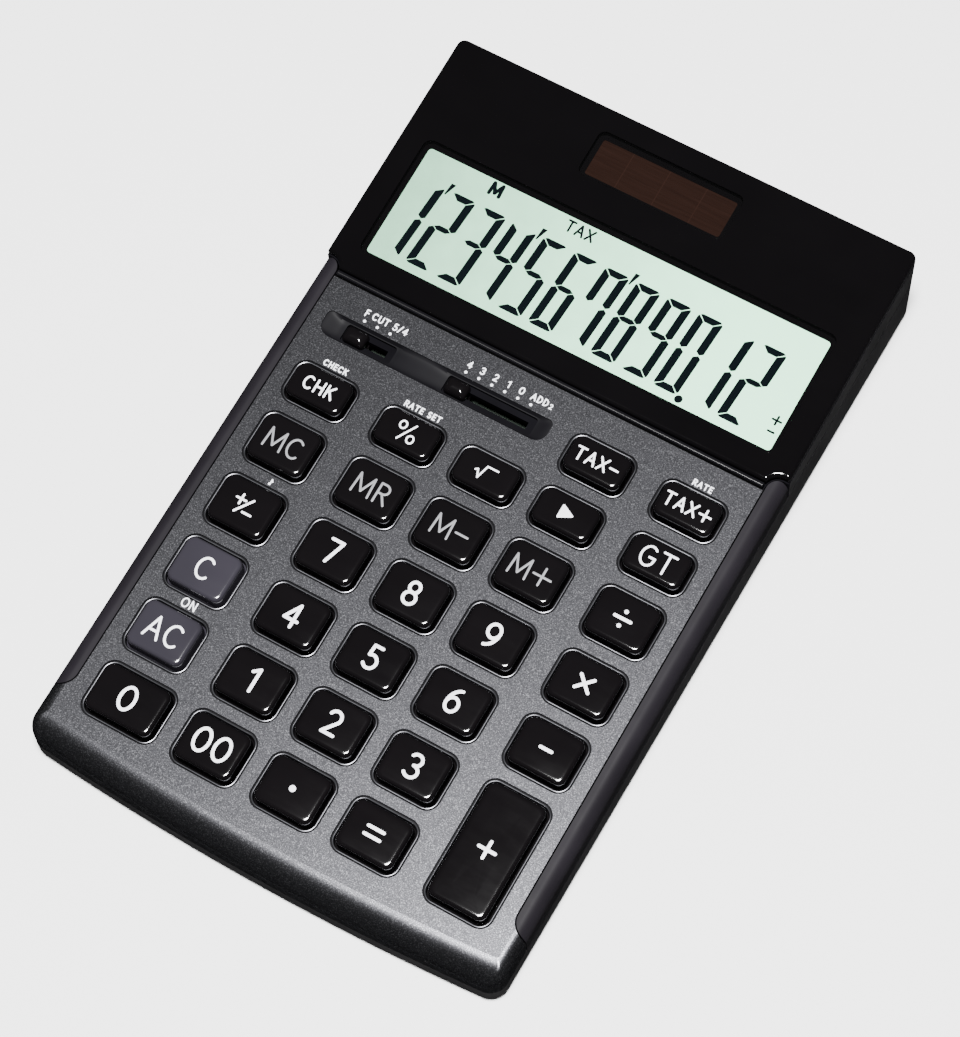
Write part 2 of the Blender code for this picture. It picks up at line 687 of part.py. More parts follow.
def make_display_inside(glass, frame_finish, cell_finish, strip_finish):
    """The liquid crystal glass in its holder, the solar cell and the ribbon down to the board."""
    roof = LENS_PROUD - LENS - GAP - PANEL - GAP
    half_x = WINDOW_HALF + GLASS_MARGIN
    front = WINDOW_FRONT - GLASS_MARGIN
    rear = WINDOW_REAR + GLASS_MARGIN
    panel = box_mesh("lcd_panel", (-half_x, front, roof - GLASS), (half_x, rear, roof))
    solid("lcd_panel", panel, HEAD, glass)
    edge = GAP + HOLDER
    floor = roof - GLASS - GAP - HOLDER
    low = (-half_x - edge, front - edge, floor)
    holder = solid(
        "lcd_frame",
        box_mesh("lcd_frame", low, (half_x + edge, rear + edge, roof)),
        HEAD,
        frame_finish,
    )
    pocket_low = (-half_x - GAP, front - GAP, roof - GLASS - GAP)
    pocket = box_mesh("lcd_pocket", pocket_low, (half_x + GAP, rear + GAP, roof + BEYOND))
    cut(holder, "lcd_pocket", pocket, HEAD)
    through_low = (-half_x + 4 * MM, front + 5 * MM, floor - BEYOND)
    through = box_mesh("lcd_through", through_low, (half_x - 4 * MM, rear - 4 * MM, roof))
    cut(holder, "lcd_through", through, HEAD)
    ribbon_slot_low = (-RIBBON_HALF - MM, front - BEYOND, floor - BEYOND)
    ribbon_slot_high = (RIBBON_HALF + MM, front + 1.5 * MM, roof - GLASS + GAP)
    cut(holder, "ribbon_slot", box_mesh("ribbon_slot", ribbon_slot_low, ribbon_slot_high), HEAD)
    cell_half = SOLAR_HALF + 1.5 * MM
    cell_low = (-cell_half, SOLAR_FRONT - 1.5 * MM, roof - SOLAR_CELL)
    cell = box_mesh("solar_panel", cell_low, (cell_half, SOLAR_REAR + 1.5 * MM, roof))
    solid("solar_panel", cell, HEAD, cell_finish)
    under_glass = roof - GLASS - GAP
    board_edge = -BOARD_TO_SEAM
    top_of_board = -BOARD_TOP + GAP
    rise = front + 1.0 * MM
    profile = [
        (board_edge - 3 * MM, top_of_board),
        (1.5 * MM, top_of_board),
        (rise, under_glass - RIBBON),
        (rise, under_glass),
        (rise - 1.2 * MM, under_glass),
        (1.2 * MM, top_of_board + RIBBON),
        (board_edge - 3 * MM, top_of_board + RIBBON),
    ]
    ribbon = extruded("lcd_ribbon", profile, -RIBBON_HALF, RIBBON_HALF)
    upright = Matrix(((0, 0, 1, 0), (1, 0, 0, 0), (0, 1, 0, 0), (0, 0, 0, 1)))
    solid("lcd_ribbon", placed(ribbon, upright), DECK, strip_finish)


# ---------------------------------------------------------------- keypad


def make_key(place, finish):
    """A cap with a rounded top edge, the flange that holds it under the panel and its stem."""
    name, x, v, well_width, well_length = place
    half_x = well_width / 2 - LIP - KEY_CLEARANCE
    half_y = well_length / 2 - LIP - KEY_CLEARANCE
    grow = 2 * KEY_CLEARANCE
    corner = KEY_CORNER - KEY_CLEARANCE
    sections = (
        (half_x - STEM_INSET, half_y - STEM_INSET, 1.0 * MM, -STEM_BOTTOM),
        (half_x - STEM_INSET, half_y - STEM_INSET, 1.0 * MM, -FLANGE_TOP - FLANGE),
        (half_x + grow, half_y + grow, corner, -FLANGE_TOP - FLANGE),
        (half_x + grow, half_y + grow, corner, -FLANGE_TOP),
        (half_x, half_y, corner, -FLANGE_TOP),
        (half_x - 0.2 * MM, half_y - 0.2 * MM, corner, KEY_HEIGHT - KEY_EDGE),
        (half_x - 0.45 * MM, half_y - 0.45 * MM, corner, KEY_HEIGHT - 0.25 * KEY_EDGE),
        (half_x - KEY_DISH, half_y - KEY_DISH, corner, KEY_HEIGHT),
    )
    rings = [[(px, py, z) for px, py in rounded(hx, hy, r)] for hx, hy, r, z in sections]
    key = lofted(name, rings)
    solid(name, key, DECK @ Matrix.Translation((x, v, 0)), finish)


def make_switch_knob(name, x, finish):
    """A nub in the recess, the neck through the web and the slider that runs over the board."""
    place = DECK @ Matrix.Translation((x, RECESS_V, 0))
    half = KNOB_LENGTH / 2
    nub_half_y = SLOT_WIDTH / 2 - GAP
    nub_bottom = SLIDE_GAP - PANEL - GAP
    shoulder = KNOB_TOP - 0.6 * MM
    sections = (
        (0.0, nub_bottom),
        (0.0, shoulder),
        (0.25 * MM, shoulder + 0.4 * MM),
        (0.8 * MM, KNOB_TOP),
    )
    rings = [
        [(px, py, z) for px, py in rounded(half - inset, nub_half_y - inset, 0.7 * MM, steps=2)]
        for inset, z in sections
    ]
    knob = solid(name, lofted(name, rings), place, finish)
    web_bottom = -PANEL - GAP - WEB
    slider_top = web_bottom - GAP
    neck_low = (-NECK_HALF_X, -NECK_HALF_Y, slider_top - SLIDE_GAP)
    neck = box_mesh(name + "_neck", neck_low, (NECK_HALF_X, NECK_HALF_Y, 0))
    join(knob, name + "_neck", neck, place)
    slider_low = (-2.6 * MM, -1.6 * MM, slider_top - 0.9 * MM)
    slider = box_mesh(name + "_slider", slider_low, (2.6 * MM, 1.6 * MM, slider_top))
    join(knob, name + "_slider", slider, place)
    wiper_low = (-1.5 * MM, -1.2 * MM, -BOARD_TOP + GAP)
    wiper = box_mesh(name + "_wiper", wiper_low, (1.5 * MM, 1.2 * MM, slider_top - 0.5 * MM))
    join(knob, name + "_wiper", wiper, place)


def keypad_reach():
    """Half width and front end of the rubber keypad and of the circuit board."""
    half = COLUMN_OUTER + WELL_WIDTH / 2 + BOARD_MARGIN
    front = ROW_2 - 4 * ROW_PITCH - WELL_LONG / 2 + BOARD_MARGIN
    return half, front


def make_rubber_keypad(finish):
    """The rubber sheet with one dome under each key, stepped round the slide switches."""
    half, front = keypad_reach()
    step_v = (ROW_0 + ROW_1) / 2
    outline = [(-half, front), (half, front), (half, ROW_0 + WELL_SHORT / 2)]
    step_x = COLUMN_INNER / 2
    outline += [(step_x, ROW_0 + WELL_SHORT / 2), (step_x, step_v), (-half, step_v)]
    sheet = extruded("rubber_keypad", outline, -MAT_TOP - MAT, -MAT_TOP)
    mat = solid("rubber_keypad", sheet, DECK, finish)
    domes = []
    for key, x, v, well_width, well_length in key_places():
        dome = cylinder_mesh("dome", DOME_RADIUS, -MAT_TOP - MAT / 2, -DOME_TOP, 8, DOME_RADIUS - MM)
        domes.append(placed(dome, Matrix.Translation((x, v, 0))))
    join(mat, "domes", joined("domes", domes), DECK)


def make_circuit_board(finish):
    half, front = keypad_reach()
    rear = -BOARD_TO_SEAM
    outline = rounded(half, (rear - front) / 2, 1.5 * MM, 0, (rear + front) / 2)
    board = extruded("circuit_board", outline, -BOARD_TOP - BOARD, -BOARD_TOP)
    node = solid("circuit_board", board, DECK, finish)
    chip = cylinder_mesh("chip_blob", 5 * MM, -BOARD_TOP - BOARD - 0.7 * MM, -BOARD_TOP - BOARD / 2, 16)
    place = DECK @ Matrix.Translation((0, ROW_1 + WELL_SHORT / 2, 0))
    join(node, "chip_blob", chip, place)


# ---------------------------------------------------------------- power and sound


def make_battery(cell_finish, metal, cover_finish, steel):
    place = Matrix.Translation((CELL_X, CELL_Y, 0))
    rim = cylinder_mesh("battery_cell", CELL_RADIUS, CELL_LOW, CELL_LOW + CELL, 32)
    cell = solid("battery_cell", rim, place, cell_finish)
    cap = cylinder_mesh("cell_cap", 8 * MM, CELL_LOW + CELL - 0.1 * MM, CELL_LOW + CELL + 0.2 * MM, 32)
    join(cell, "cell_cap", cap, place)
    upright = Matrix(((1, 0, 0, 0), (0, 0, -1, 0), (0, 1, 0, 0), (0, 0, 0, 1)))
    strip = CONTACT
    over_well = WELL_TOP + GAP
    outside = WELL_OUTER + GAP
    tab_bottom = WELL_TOP - 1.5 * MM
    top_profile = [
        (-3 * MM, over_well - 0.1 * MM),
        (2 * MM, over_well),
        (outside, over_well),
        (outside, tab_bottom),
        (outside + strip, tab_bottom),
        (outside + strip, over_well + strip),
        (2 * MM, over_well + strip),
        (-3 * MM, over_well - 0.1 * MM + strip),
    ]
    leaf = extruded("battery_contact_negative", top_profile, -2 * MM, 2 * MM)
    solid("battery_contact_negative", placed(leaf, upright), place, metal)
    rim_gap = CELL_RADIUS + GAP
    side_profile = [
        (rim_gap, CELL_LOW + 0.6 * MM),
        (rim_gap + strip, CELL_LOW + 0.6 * MM),
        (rim_gap + strip, over_well),
        (outside, over_well),
        (outside, tab_bottom),
        (outside + strip, tab_bottom),
        (outside + strip, over_well + strip),
        (rim_gap, over_well + strip),
    ]
    side = extruded("battery_contact_positive", side_profile, -2 * MM, 2 * MM)
    turned = place @ Matrix.Rotation(math.radians(90), 4, "Z")
    solid("battery_contact_positive", placed(side, upright), turned, metal)
    cover_place = Matrix.Translation((CELL_X - COVER_SHIFT, CELL_Y, 0))
    outline = rounded(COVER_HALF_X, COVER_HALF_Y, 1.8 * MM, steps=2)
    plate = extruded("battery_cover", outline, FOOT_DROP, FOOT_DROP + COVER)
    cover = solid("battery_cover", plate, cover_place, cover_finish)
    x, y, z = cover_screw_place()
    screw_hole = cylinder_mesh("cover_screw_hole", 1.3 * MM, -BEYOND, BEYOND, 12)
    cut(cover, "cover_screw_hole", placed(screw_hole, Matrix.Translation((x, y, 0))))
    make_cover_screw(x, y, steel)


def make_cover_screw(x, y, steel):
    """A short screw whose head sits just under the cover."""
    place = Matrix.Translation((x, y, 0))
    head_low = FOOT_DROP - 0.65 * MM
    head_high = FOOT_DROP - GAP
    head = cylinder_mesh("battery_cover_screw", SCREW_HEAD_RADIUS, head_low, head_high)
    screw = solid("battery_cover_screw", head, place, steel)
    shank = cylinder_mesh("cover_screw_shank", 0.9 * MM, head_low + 0.1 * MM, FOOT_DROP + 3.6 * MM, 10)
    join(screw, "cover_screw_shank", shank, place)


def make_beeper(brass):
    """The thin sounder disc on the floor of the display head."""
    low = FOOT_DROP + FLOOR + GAP
    place = Matrix.Translation((-CELL_X - 6 * MM, CELL_Y, 0))
    disc = solid("beeper_disc", cylinder_mesh("beeper_disc", 9 * MM, low, low + 0.4 * MM, 28), place, brass)
    join(disc, "ceramic", cylinder_mesh("ceramic", 6 * MM, low + 0.2 * MM, low + 0.7 * MM, 24), place)


def build():
    clear_scene()
    plum = material("plum_plastic", (0.032, 0.029, 0.035), 0.5)
    black = material("black_plastic", (0.012, 0.011, 0.012), 0.25)
    paint = material("deck_paint", (0.16, 0.16, 0.17), 0.42, 0.6)
    window = material("black_window", (0.006, 0.006, 0.006), 0.06)
    key_black = material("key_black", (0.012, 0.010, 0.011), 0.18)
    key_slate = material("key_slate", (0.065, 0.062, 0.075), 0.25)
    glass = material("lcd_glass", (0.62, 0.74, 0.66), 0.3)
    solar = material("solar_cell", (0.055, 0.026, 0.02), 0.25)
    green = material("board_green", (0.02, 0.11, 0.05), 0.45)
    rubber = material("grey_rubber", (0.16, 0.16, 0.16), 0.75)
    foot_rubber = material("foot_rubber", (0.02, 0.02, 0.02), 0.8)
    steel = material("plated_steel", (0.55, 0.55, 0.56), 0.3, 1.0)
    brass = material("brass", (0.6, 0.42, 0.16), 0.3, 1.0)
    white = material("white_plastic", (0.6, 0.6, 0.58), 0.45)
    film = material("ribbon_film", (0.35, 0.2, 0.06), 0.4)
    make_face_plate(paint)
    make_side_trims(plum)
    make_upper_case(black)
    make_lower_case(plum)
    make_display_window(window)
    make_display_inside(glass, white, solar, film)
    for place in key_places():
        make_key(place, key_slate if place[0] in ("key_clear_entry", "key_all_clear") else key_black)
    make_switch_knob("rounding_switch_knob", ROUNDING_X, key_black)
    make_switch_knob("decimal_switch_knob", DECIMAL_X, key_black)
    make_rubber_keypad(rubber)
    make_circuit_board(green)
    make_battery(steel, steel, plum, steel)
    make_beeper(brass)
    make_fasteners_and_feet(steel, foot_rubber)


PARTS = new_collection("desk_calculator", True)
CUTTERS = new_collection("cutters", False)
build()
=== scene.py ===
"""Looks of a desk calculator: its fine outer pieces, printed legends, finishes, light and camera.

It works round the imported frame, in the frame's own metres: +X to the user's right, +Y towards the display
and +Z up. Two sloping planes carry most of it: the deck, which is the top of the key panel, and the head,
which is the plane of the display window. Both start at the seam between the two.
"""
import json
import math

import bmesh
import bpy
from bpy.props import FloatProperty, FloatVectorProperty, PointerProperty
from mathutils import Matrix, Vector


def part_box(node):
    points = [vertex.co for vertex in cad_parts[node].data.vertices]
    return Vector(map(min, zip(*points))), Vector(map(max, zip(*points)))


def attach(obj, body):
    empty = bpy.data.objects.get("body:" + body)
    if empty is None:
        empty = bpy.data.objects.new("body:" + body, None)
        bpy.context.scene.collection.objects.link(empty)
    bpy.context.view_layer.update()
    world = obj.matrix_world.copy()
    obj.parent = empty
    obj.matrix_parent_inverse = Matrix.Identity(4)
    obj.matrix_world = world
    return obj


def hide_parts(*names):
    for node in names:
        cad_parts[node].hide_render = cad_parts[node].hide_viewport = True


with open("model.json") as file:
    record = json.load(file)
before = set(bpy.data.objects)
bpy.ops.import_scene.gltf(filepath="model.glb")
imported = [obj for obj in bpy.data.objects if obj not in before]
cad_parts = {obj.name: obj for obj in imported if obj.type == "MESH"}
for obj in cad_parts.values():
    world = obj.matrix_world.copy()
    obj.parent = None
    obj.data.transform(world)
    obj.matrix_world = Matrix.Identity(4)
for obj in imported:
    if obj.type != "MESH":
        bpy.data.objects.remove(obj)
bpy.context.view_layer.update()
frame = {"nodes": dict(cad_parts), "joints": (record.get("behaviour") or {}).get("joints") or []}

bl_info = {
    "name": "Desk Calculator",
    "version": (1, 0, 0),
    "blender": (4, 5, 0),
    "location": "3D View > Sidebar > Calculator",
    "description": "Builds the outer pieces, legends, finishes, light and camera of a desk calculator",
    "category": "Add Mesh",
}

MM = 0.001
CASE = "case"

# Clearances and walls that the pieces share with the frame
GAP = 0.3 * MM
PANEL = 1.6 * MM
SPLIT_DEPTH = 7.4 * MM
TRIM_WIDTH = 4.0 * MM
TRIM_NOSE = 3.4 * MM
NOSE_RADIUS = 2.6 * MM
NOSE_GAP = 0.5 * MM
KEY_CORNER = 2.2 * MM
KEY_CLEARANCE = 0.35 * MM
FLANGE_REACH = 0.7 * MM
SLOT_HALF = 2.1 * MM
SKIN = 0.02 * MM
BEYOND = 6 * MM
MASK = 1.2 * MM
MASK_CLEARANCE = 0.4 * MM
SEAM_BAR_RISE = 0.8 * MM
SEAM_BAR_WIDTH = 1.0 * MM

# Half width, front and rear of the window's two clear fields, in the head frame
DISPLAY_FIELD = (47.69 * MM, 8.0 * MM, 34.95 * MM)
SOLAR_FIELD = (15.95 * MM, 44.9 * MM, 53.7 * MM)
DISPLAY_CORNER = 0.8 * MM
SOLAR_CORNER = 0.5 * MM

# How finely round forms are divided
CORNER_STEPS = 12
BOW_STEPS = 44
ROLL_STEPS = 12
SIDE_PARTS = 8
RECESS_STATIONS = 132

LOW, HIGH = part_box("lower_case")
WIDTH = HIGH.x - LOW.x
FRONT_Y = LOW.y
REAR_Y = HIGH.y
PANEL_HALF = WIDTH / 2 - TRIM_WIDTH


def slope_of(node):
    """Tilt of a node's largest face."""
    normal = max(frame["nodes"][node].data.polygons, key=lambda face: face.area).normal
    return math.atan2(-normal.y * math.copysign(1, normal.z), abs(normal.z))


def press_slope():
    axis = next(joint["axis"] for joint in frame["joints"] if joint["name"] == "press_0")
    return math.atan2(axis[1], -axis[2])


def sloping_frame(tilt):
    """A frame with its origin on the deck at the seam, X across, Y up the slope and Z off the surface."""
    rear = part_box("face_plate")[1]
    deck_turn = Matrix.Rotation(press_slope(), 4, "X")
    start = Vector((0, rear.y, rear.z)) + deck_turn @ Vector((0, GAP / 2, 0))
    return Matrix.Translation(start) @ Matrix.Rotation(tilt, 4, "X")


DECK = sloping_frame(press_slope())
HEAD = sloping_frame(slope_of("display_window"))
SEAM = DECK.translation


def height_on(plane, y, up=0.0):
    """World height of the deck or head plane at world y, raised by up."""
    normal = plane.to_3x3() @ Vector((0, 0, 1))
    return SEAM.z + up / normal.z - (y - SEAM.y) * normal.y / normal.z


def extents(node, plane):
    """Lowest and highest corner of a CAD node in the deck or head frame."""
    into = plane.inverted()
    places = [into @ vertex.co for vertex in frame["nodes"][node].data.vertices]
    low = Vector([min(place[axis] for place in places) for axis in range(3)])
    high = Vector([max(place[axis] for place in places) for axis in range(3)])
    return low, high


# ---------------------------------------------------------------- sizes and colours a user would change


def length_prop(name, description, millimetres):
    return FloatProperty(
        name=name, description=description, default=millimetres * MM, unit="LENGTH", precision=5
    )


def color_prop(name, description, color):
    return FloatVectorProperty(
        name=name, description=description, default=color, subtype="COLOR", size=3, min=0.0, max=1.0
    )


class CalculatorCase(bpy.types.PropertyGroup):
    """Sizes and colours of the case."""

    front_bow: length_prop("Front bow", "How far the middle of the front edge stands forward", 2.4)
    corner: length_prop("Front corners", "Radius of the front corners seen from above", 4.0)
    rear_corner: length_prop("Rear corners", "Radius of the rear corners seen from above", 1.8)
    front_roll: length_prop("Front roll", "Radius of the key panel's rolled front edge", 5.4)
    side_roll: length_prop("Side roll", "Radius of the rounded shoulders", 2.8)
    ring_width: length_prop("Ring width", "Width of the raised ring and its groove round a key opening", 0.75)
    groove_depth: length_prop("Groove depth", "Depth of the groove round a key opening", 0.42)
    window_edge: length_prop("Window edge", "Radius of the display window's rounded rim", 0.9)
    paint: color_prop("Panel paint", "Colour of the metallic paint on the key panel", (0.058, 0.058, 0.063))
    flake: color_prop("Flakes", "Colour of the bright flakes in the paint", (0.135, 0.135, 0.144))
    # Painted shade: the dark colour of the key panel down in its openings and the switch recess, also used on
    # the inner frame seen through the slots
    recess: color_prop("Recess paint", "Colour of the key panel inside its openings", (0.0034, 0.0032, 0.004))
    strip: color_prop("Side strips", "Colour of the strips beside the keys", (0.0072, 0.0062, 0.0080))
    shell: color_prop("Case", "Colour of the lower case and the display head", (0.0165, 0.0158, 0.0165))
    window: color_prop("Window", "Colour of the display window", (0.0014, 0.0012, 0.0014))


class CalculatorKeys(bpy.types.PropertyGroup):
    """Sizes and colours of the keys and their legends."""

    crown_x: length_prop("Crown across", "How far a key's top falls from its middle to its sides", 0.15)
    crown_y: length_prop("Crown along", "How far a key's top falls from its middle to its ends", 0.10)
    figure: length_prop("Figure height", "Height of the large figures, between stroke centres", 4.95)
    figure_stroke: length_prop("Figure stroke", "Width of the strokes of the large figures", 0.70)
    word: length_prop("Word height", "Height of the function legends, between stroke centres", 4.3)
    word_stroke: length_prop("Word stroke", "Width of the strokes of the function legends", 0.50)
    black: color_prop("Black keys", "Colour of the black keys", (0.0022, 0.0018, 0.0021))
    slate: color_prop("Slate keys", "Colour of the two clearing keys", (0.017, 0.0155, 0.020))
    white: color_prop("White print", "Colour of the bright legends", (0.80, 0.80, 0.84))
    grey: color_prop("Grey print", "Colour of the memory key legends", (0.16, 0.16, 0.17))


class CalculatorDisplay(bpy.types.PropertyGroup):
    """Sizes and colours of the display and the solar cell."""

    digit_height: length_prop("Digit height", "Height of a display digit", 18.5)
    digit_width: length_prop("Digit width", "Width of a display digit", 5.7)
    digit_pitch: length_prop("Digit pitch", "Distance from one display digit to the next", 7.367)
    segment: length_prop("Segment", "Width of an upright display segment", 1.75)
    slant: FloatProperty(name="Slant", description="Sideways lean of a digit per height", default=0.064)
    # The display film paints light over this colour, darker at its left end and lighter at its right
    glass: color_prop("Display", "Colour of the lit display", (0.335, 0.70, 0.45))
    ink: color_prop("Segments", "Colour of the dark segments", (0.0015, 0.003, 0.004))
    cell: color_prop("Solar cell", "Colour of the solar cell", (0.0098, 0.0045, 0.0032))


class CalculatorStage(bpy.types.PropertyGroup):
    """Camera, floor and lights."""

    eye: FloatVectorProperty(
        name="Camera place", description="Where the camera is", subtype="TRANSLATION", size=3,
        default=(0.15385, -0.22335, 0.61173),
    )
    turn: FloatVectorProperty(
        name="Camera turn", description="How the camera is turned", subtype="EULER", size=3,
        default=(math.radians(24.012), math.radians(1.970), math.radians(30.057)),
    )
    lens: FloatProperty(name="Lens", description="Focal length in mm on a 36 mm frame", default=120.94)
    floor: color_prop("Floor", "Colour of the floor", (0.86, 0.86, 0.86))
    lamp: FloatProperty(name="Lamp", description="Power of the ceiling lamp", default=82.0, unit="POWER")
    sky: FloatProperty(name="Surroundings", description="Brightness of the room", default=0.06)


def case_sizes():
    return bpy.context.scene.calculator_case


def key_sizes():
    return bpy.context.scene.calculator_keys


def display_sizes():
    return bpy.context.scene.calculator_display


def stage_sizes():
    return bpy.context.scene.calculator_stage


# ---------------------------------------------------------------- making meshes


def arc(center_x, center_y, radius, start, end, steps=8):
    """Points on an arc, with angles in degrees."""
    angles = [math.radians(start + (end - start) * step / steps) for step in range(steps + 1)]
    return [(center_x + radius * math.cos(a), center_y + radius * math.sin(a)) for a in angles]


def rounded(half_x, half_y, radius, x=0.0, y=0.0, steps=8, parts=1):
    """A rectangle with round corners, anticlockwise, its straight sides divided into parts."""
    corners = []
    for start, side_x, side_y in ((0, 1, 1), (90, -1, 1), (180, -1, -1), (270, 1, -1)):
        corner_x = x + side_x * (half_x - radius)
        corner_y = y + side_y * (half_y - radius)
        corners.append(arc(corner_x, corner_y, radius, start, start + 90, steps))
    outline = []
    for here, after in zip(corners, corners[1:] + corners[:1]):
        outline += here
        (x0, y0), (x1, y1) = here[-1], after[0]
        for part in range(1, parts):
            outline.append((x0 + (x1 - x0) * part / parts, y0 + (y1 - y0) * part / parts))
    return outline


def circle(radius, x=0.0, y=0.0, steps=48):
    return arc(x, y, radius, 0, 360, steps)[:-1]


def skin_rings(shape, rings, around=True):
    """Quads between rings of points that hold the same number of points. Returns the rows of vertices."""
    rows = [[shape.verts.new(point) for point in ring] for ring in rings]
    count = len(rows[0])
    for below, above in zip(rows, rows[1:]):
        for here in range(count if around else count - 1):
            after = (here + 1) % count
            shape.faces.new((below[here], below[after], above[after], above[here]))
    return rows


def add_loft(shape, rings):
    """A closed solid through rings of points, flat at both ends."""
    rows = skin_rings(shape, rings)
    shape.faces.new(reversed(rows[0]))
    shape.faces.new(rows[-1])


def stacked(levels, outline_at, plane=None):
    """Rings for a loft: for each (inset, height), the outline for that inset, laid at that height."""
    plane = plane or Matrix()
    return [[plane @ Vector((x, y, z)) for x, y in outline_at(inset)] for inset, z in levels]


def add_peaked(shape, rings, peak):
    """A closed solid through rings of points, flat below and drawn together to a point on top."""
    rows = skin_rings(shape, rings)
    shape.faces.new(reversed(rows[0]))
    tip = shape.verts.new(peak)
    last = rows[-1]
    for here, vertex in enumerate(last):
        shape.faces.new((vertex, last[(here + 1) % len(last)], tip))


def add_tube(shape, rings):
    """A closed loop of a solid: the last ring joins the first."""
    skin_rings(shape, rings + rings[:1])
    bmesh.ops.remove_doubles(shape, verts=shape.verts, dist=0.1 * SKIN)


def add_block(shape, plane, low, high, edge=0.1 * MM):
    """A block between two corners with its upright corners and its rims eased."""
    middle = ((low[0] + high[0]) / 2, (low[1] + high[1]) / 2)
    half = ((high[0] - low[0]) / 2, (high[1] - low[1]) / 2)
    levels = ((edge, low[2]), (0, low[2] + edge), (0, high[2] - edge), (edge, high[2]))
    eased = (lambda inset: rounded(half[0] - inset, half[1] - inset, 2 * edge, *middle, steps=3))
    add_loft(shape, stacked(levels, eased, plane))


def mesh_of(name, shape):
    bmesh.ops.recalc_face_normals(shape, faces=shape.faces)
    mesh = bpy.data.meshes.new(name)
    shape.to_mesh(mesh)
    shape.free()
    return mesh


def carve(thing, shape, operation="DIFFERENCE"):
    """Cuts the closed mesh in shape from thing, or keeps only what they share."""
    cutter = bpy.data.objects.new("cutter", mesh_of("cutter", shape))
    bpy.context.scene.collection.objects.link(cutter)
    step = thing.modifiers.new("Carve", "BOOLEAN")
    step.operation = operation
    step.solver = "EXACT"
    step.object = cutter
    settle(thing)
    spare = cutter.data
    bpy.data.objects.remove(cutter, do_unlink=True)
    bpy.data.meshes.remove(spare)


def settle(thing):
    """Turns a piece's modifiers into its mesh."""
    bpy.context.view_layer.update()
    graph = bpy.context.evaluated_depsgraph_get()
    made = bpy.data.meshes.new_from_object(thing.evaluated_get(graph), depsgraph=graph)
    thing.modifiers.clear()
    spare = thing.data
    thing.data = made
    made.name = thing.name
    bpy.data.meshes.remove(spare)


def new_piece(name, shape, finish):
    thing = bpy.data.objects.new(name, mesh_of(name, shape))
    bpy.context.scene.collection.objects.link(thing)
    thing.data.materials.append(finish)
    return thing


def fit_out(thing, body, stands_for=(), sharp=38.0):
    """Shades a finished piece, seats it on its body and hides the nodes it stands for."""
    thing.data.shade_smooth()
    thing.data.set_sharp_from_angle(angle=math.radians(sharp))
    weighted = thing.modifiers.new("Even shading", "WEIGHTED_NORMAL")
    weighted.keep_sharp = True
    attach(thing, body)
    if stands_for:
        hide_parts(*stands_for)
    return thing


# ---------------------------------------------------------------- finishes


def new_node(tree, kind, settings=None, **inputs):
    made = tree.nodes.new(kind)
    for setting, value in (settings or {}).items():
        setattr(made, setting, value)
    for socket, value in inputs.items():
        made.inputs[socket.replace("_", " ")].default_value = value
    return made


def grain(tree, scale, detail=2.0, stretch=(1, 1, 1)):
    """Noise on the piece's own metres, as a number from 0 to 1. Scale is in grains per metre."""
    place = new_node(tree, "ShaderNodeTexCoord")
    spread = new_node(tree, "ShaderNodeMapping", Scale=stretch)
    noise = new_node(tree, "ShaderNodeTexNoise", Scale=scale, Detail=detail, Roughness=0.55)
    wire(tree, place.outputs["Object"], spread, "Vector")
    wire(tree, spread.outputs["Vector"], noise, "Vector")
    return noise.outputs["Fac"]


def wire(tree, source, node, socket):
    tree.links.new(source, node.inputs[socket])


def color_by(tree, source, stops):
    """Base colour from a number, through stops of (place, colour)."""
    ramp = new_node(tree, "ShaderNodeValToRGB")
    marks = ramp.color_ramp.elements
    while len(marks) < len(stops):
        marks.new(0.5)
    for mark, (place, color) in zip(marks, stops):
        mark.position = place
        mark.color = (*color, 1.0)
    wire(tree, source, ramp, "Fac")
    wire(tree, ramp.outputs["Color"], tree.nodes["Principled BSDF"], "Base Color")


def roughness_by(tree, source, low, high):
    spread = new_node(tree, "ShaderNodeMapRange", From_Min=0.3, From_Max=0.7, To_Min=low, To_Max=high)
    wire(tree, source, spread, "Value")
    wire(tree, spread.outputs["Result"], tree.nodes["Principled BSDF"], "Roughness")


def bump_by(tree, source, height):
    """Raises the surface by up to height where source is 1."""
    bump = new_node(tree, "ShaderNodeBump", Strength=1.0, Distance=height)
    wire(tree, source, bump, "Height")
    wire(tree, bump.outputs["Normal"], tree.nodes["Principled BSDF"], "Normal")


def shade(color, factor):
    return tuple(min(1.0, part * factor) for part in color)


def start_finish(name, color, roughness, metallic=0.0, **sockets):
    made = bpy.data.materials.new(name)
    made.use_nodes = True
    shader = made.node_tree.nodes["Principled BSDF"]
    shader.inputs["Base Color"].default_value = (*color, 1.0)
    shader.inputs["Roughness"].default_value = roughness
    shader.inputs["Metallic"].default_value = metallic
    for socket, value in sockets.items():
        shader.inputs[socket.replace("_", " ")].default_value = value
    return made, made.node_tree


def metallic_paint(name):
    """Grey paint with fine bright flakes and a slight orange peel."""
    case = case_sizes()
    made, tree = start_finish(name, case.paint, 0.29, 0.95, Specular_Tint=(0.03, 0.03, 0.03, 1.0))
    flakes = grain(tree, 4300.0, 1.0)
    color_by(tree, flakes, ((0.36, shade(case.paint, 0.62)), (0.58, case.paint), (0.70, case.flake)))
    roughness_by(tree, grain(tree, 2400.0), 0.27, 0.31)
    bump_by(tree, grain(tree, 4300.0, 1.0), 0.0035 * MM)
    return made


def moulded(name, color, roughness, texture=0.006 * MM, scale=4200.0, shine=0.5):
    """Plastic with a fine moulded texture and faint handling wear."""
    made, tree = start_finish(name, color, roughness, Specular_IOR_Level=shine)
    color_by(tree, grain(tree, 60.0, 3.0), ((0.35, shade(color, 0.86)), (0.65, shade(color, 1.14))))
    roughness_by(tree, grain(tree, 130.0, 4.0), roughness - 0.05, roughness + 0.06)
    bump_by(tree, grain(tree, scale, 3.0), texture)
    return made


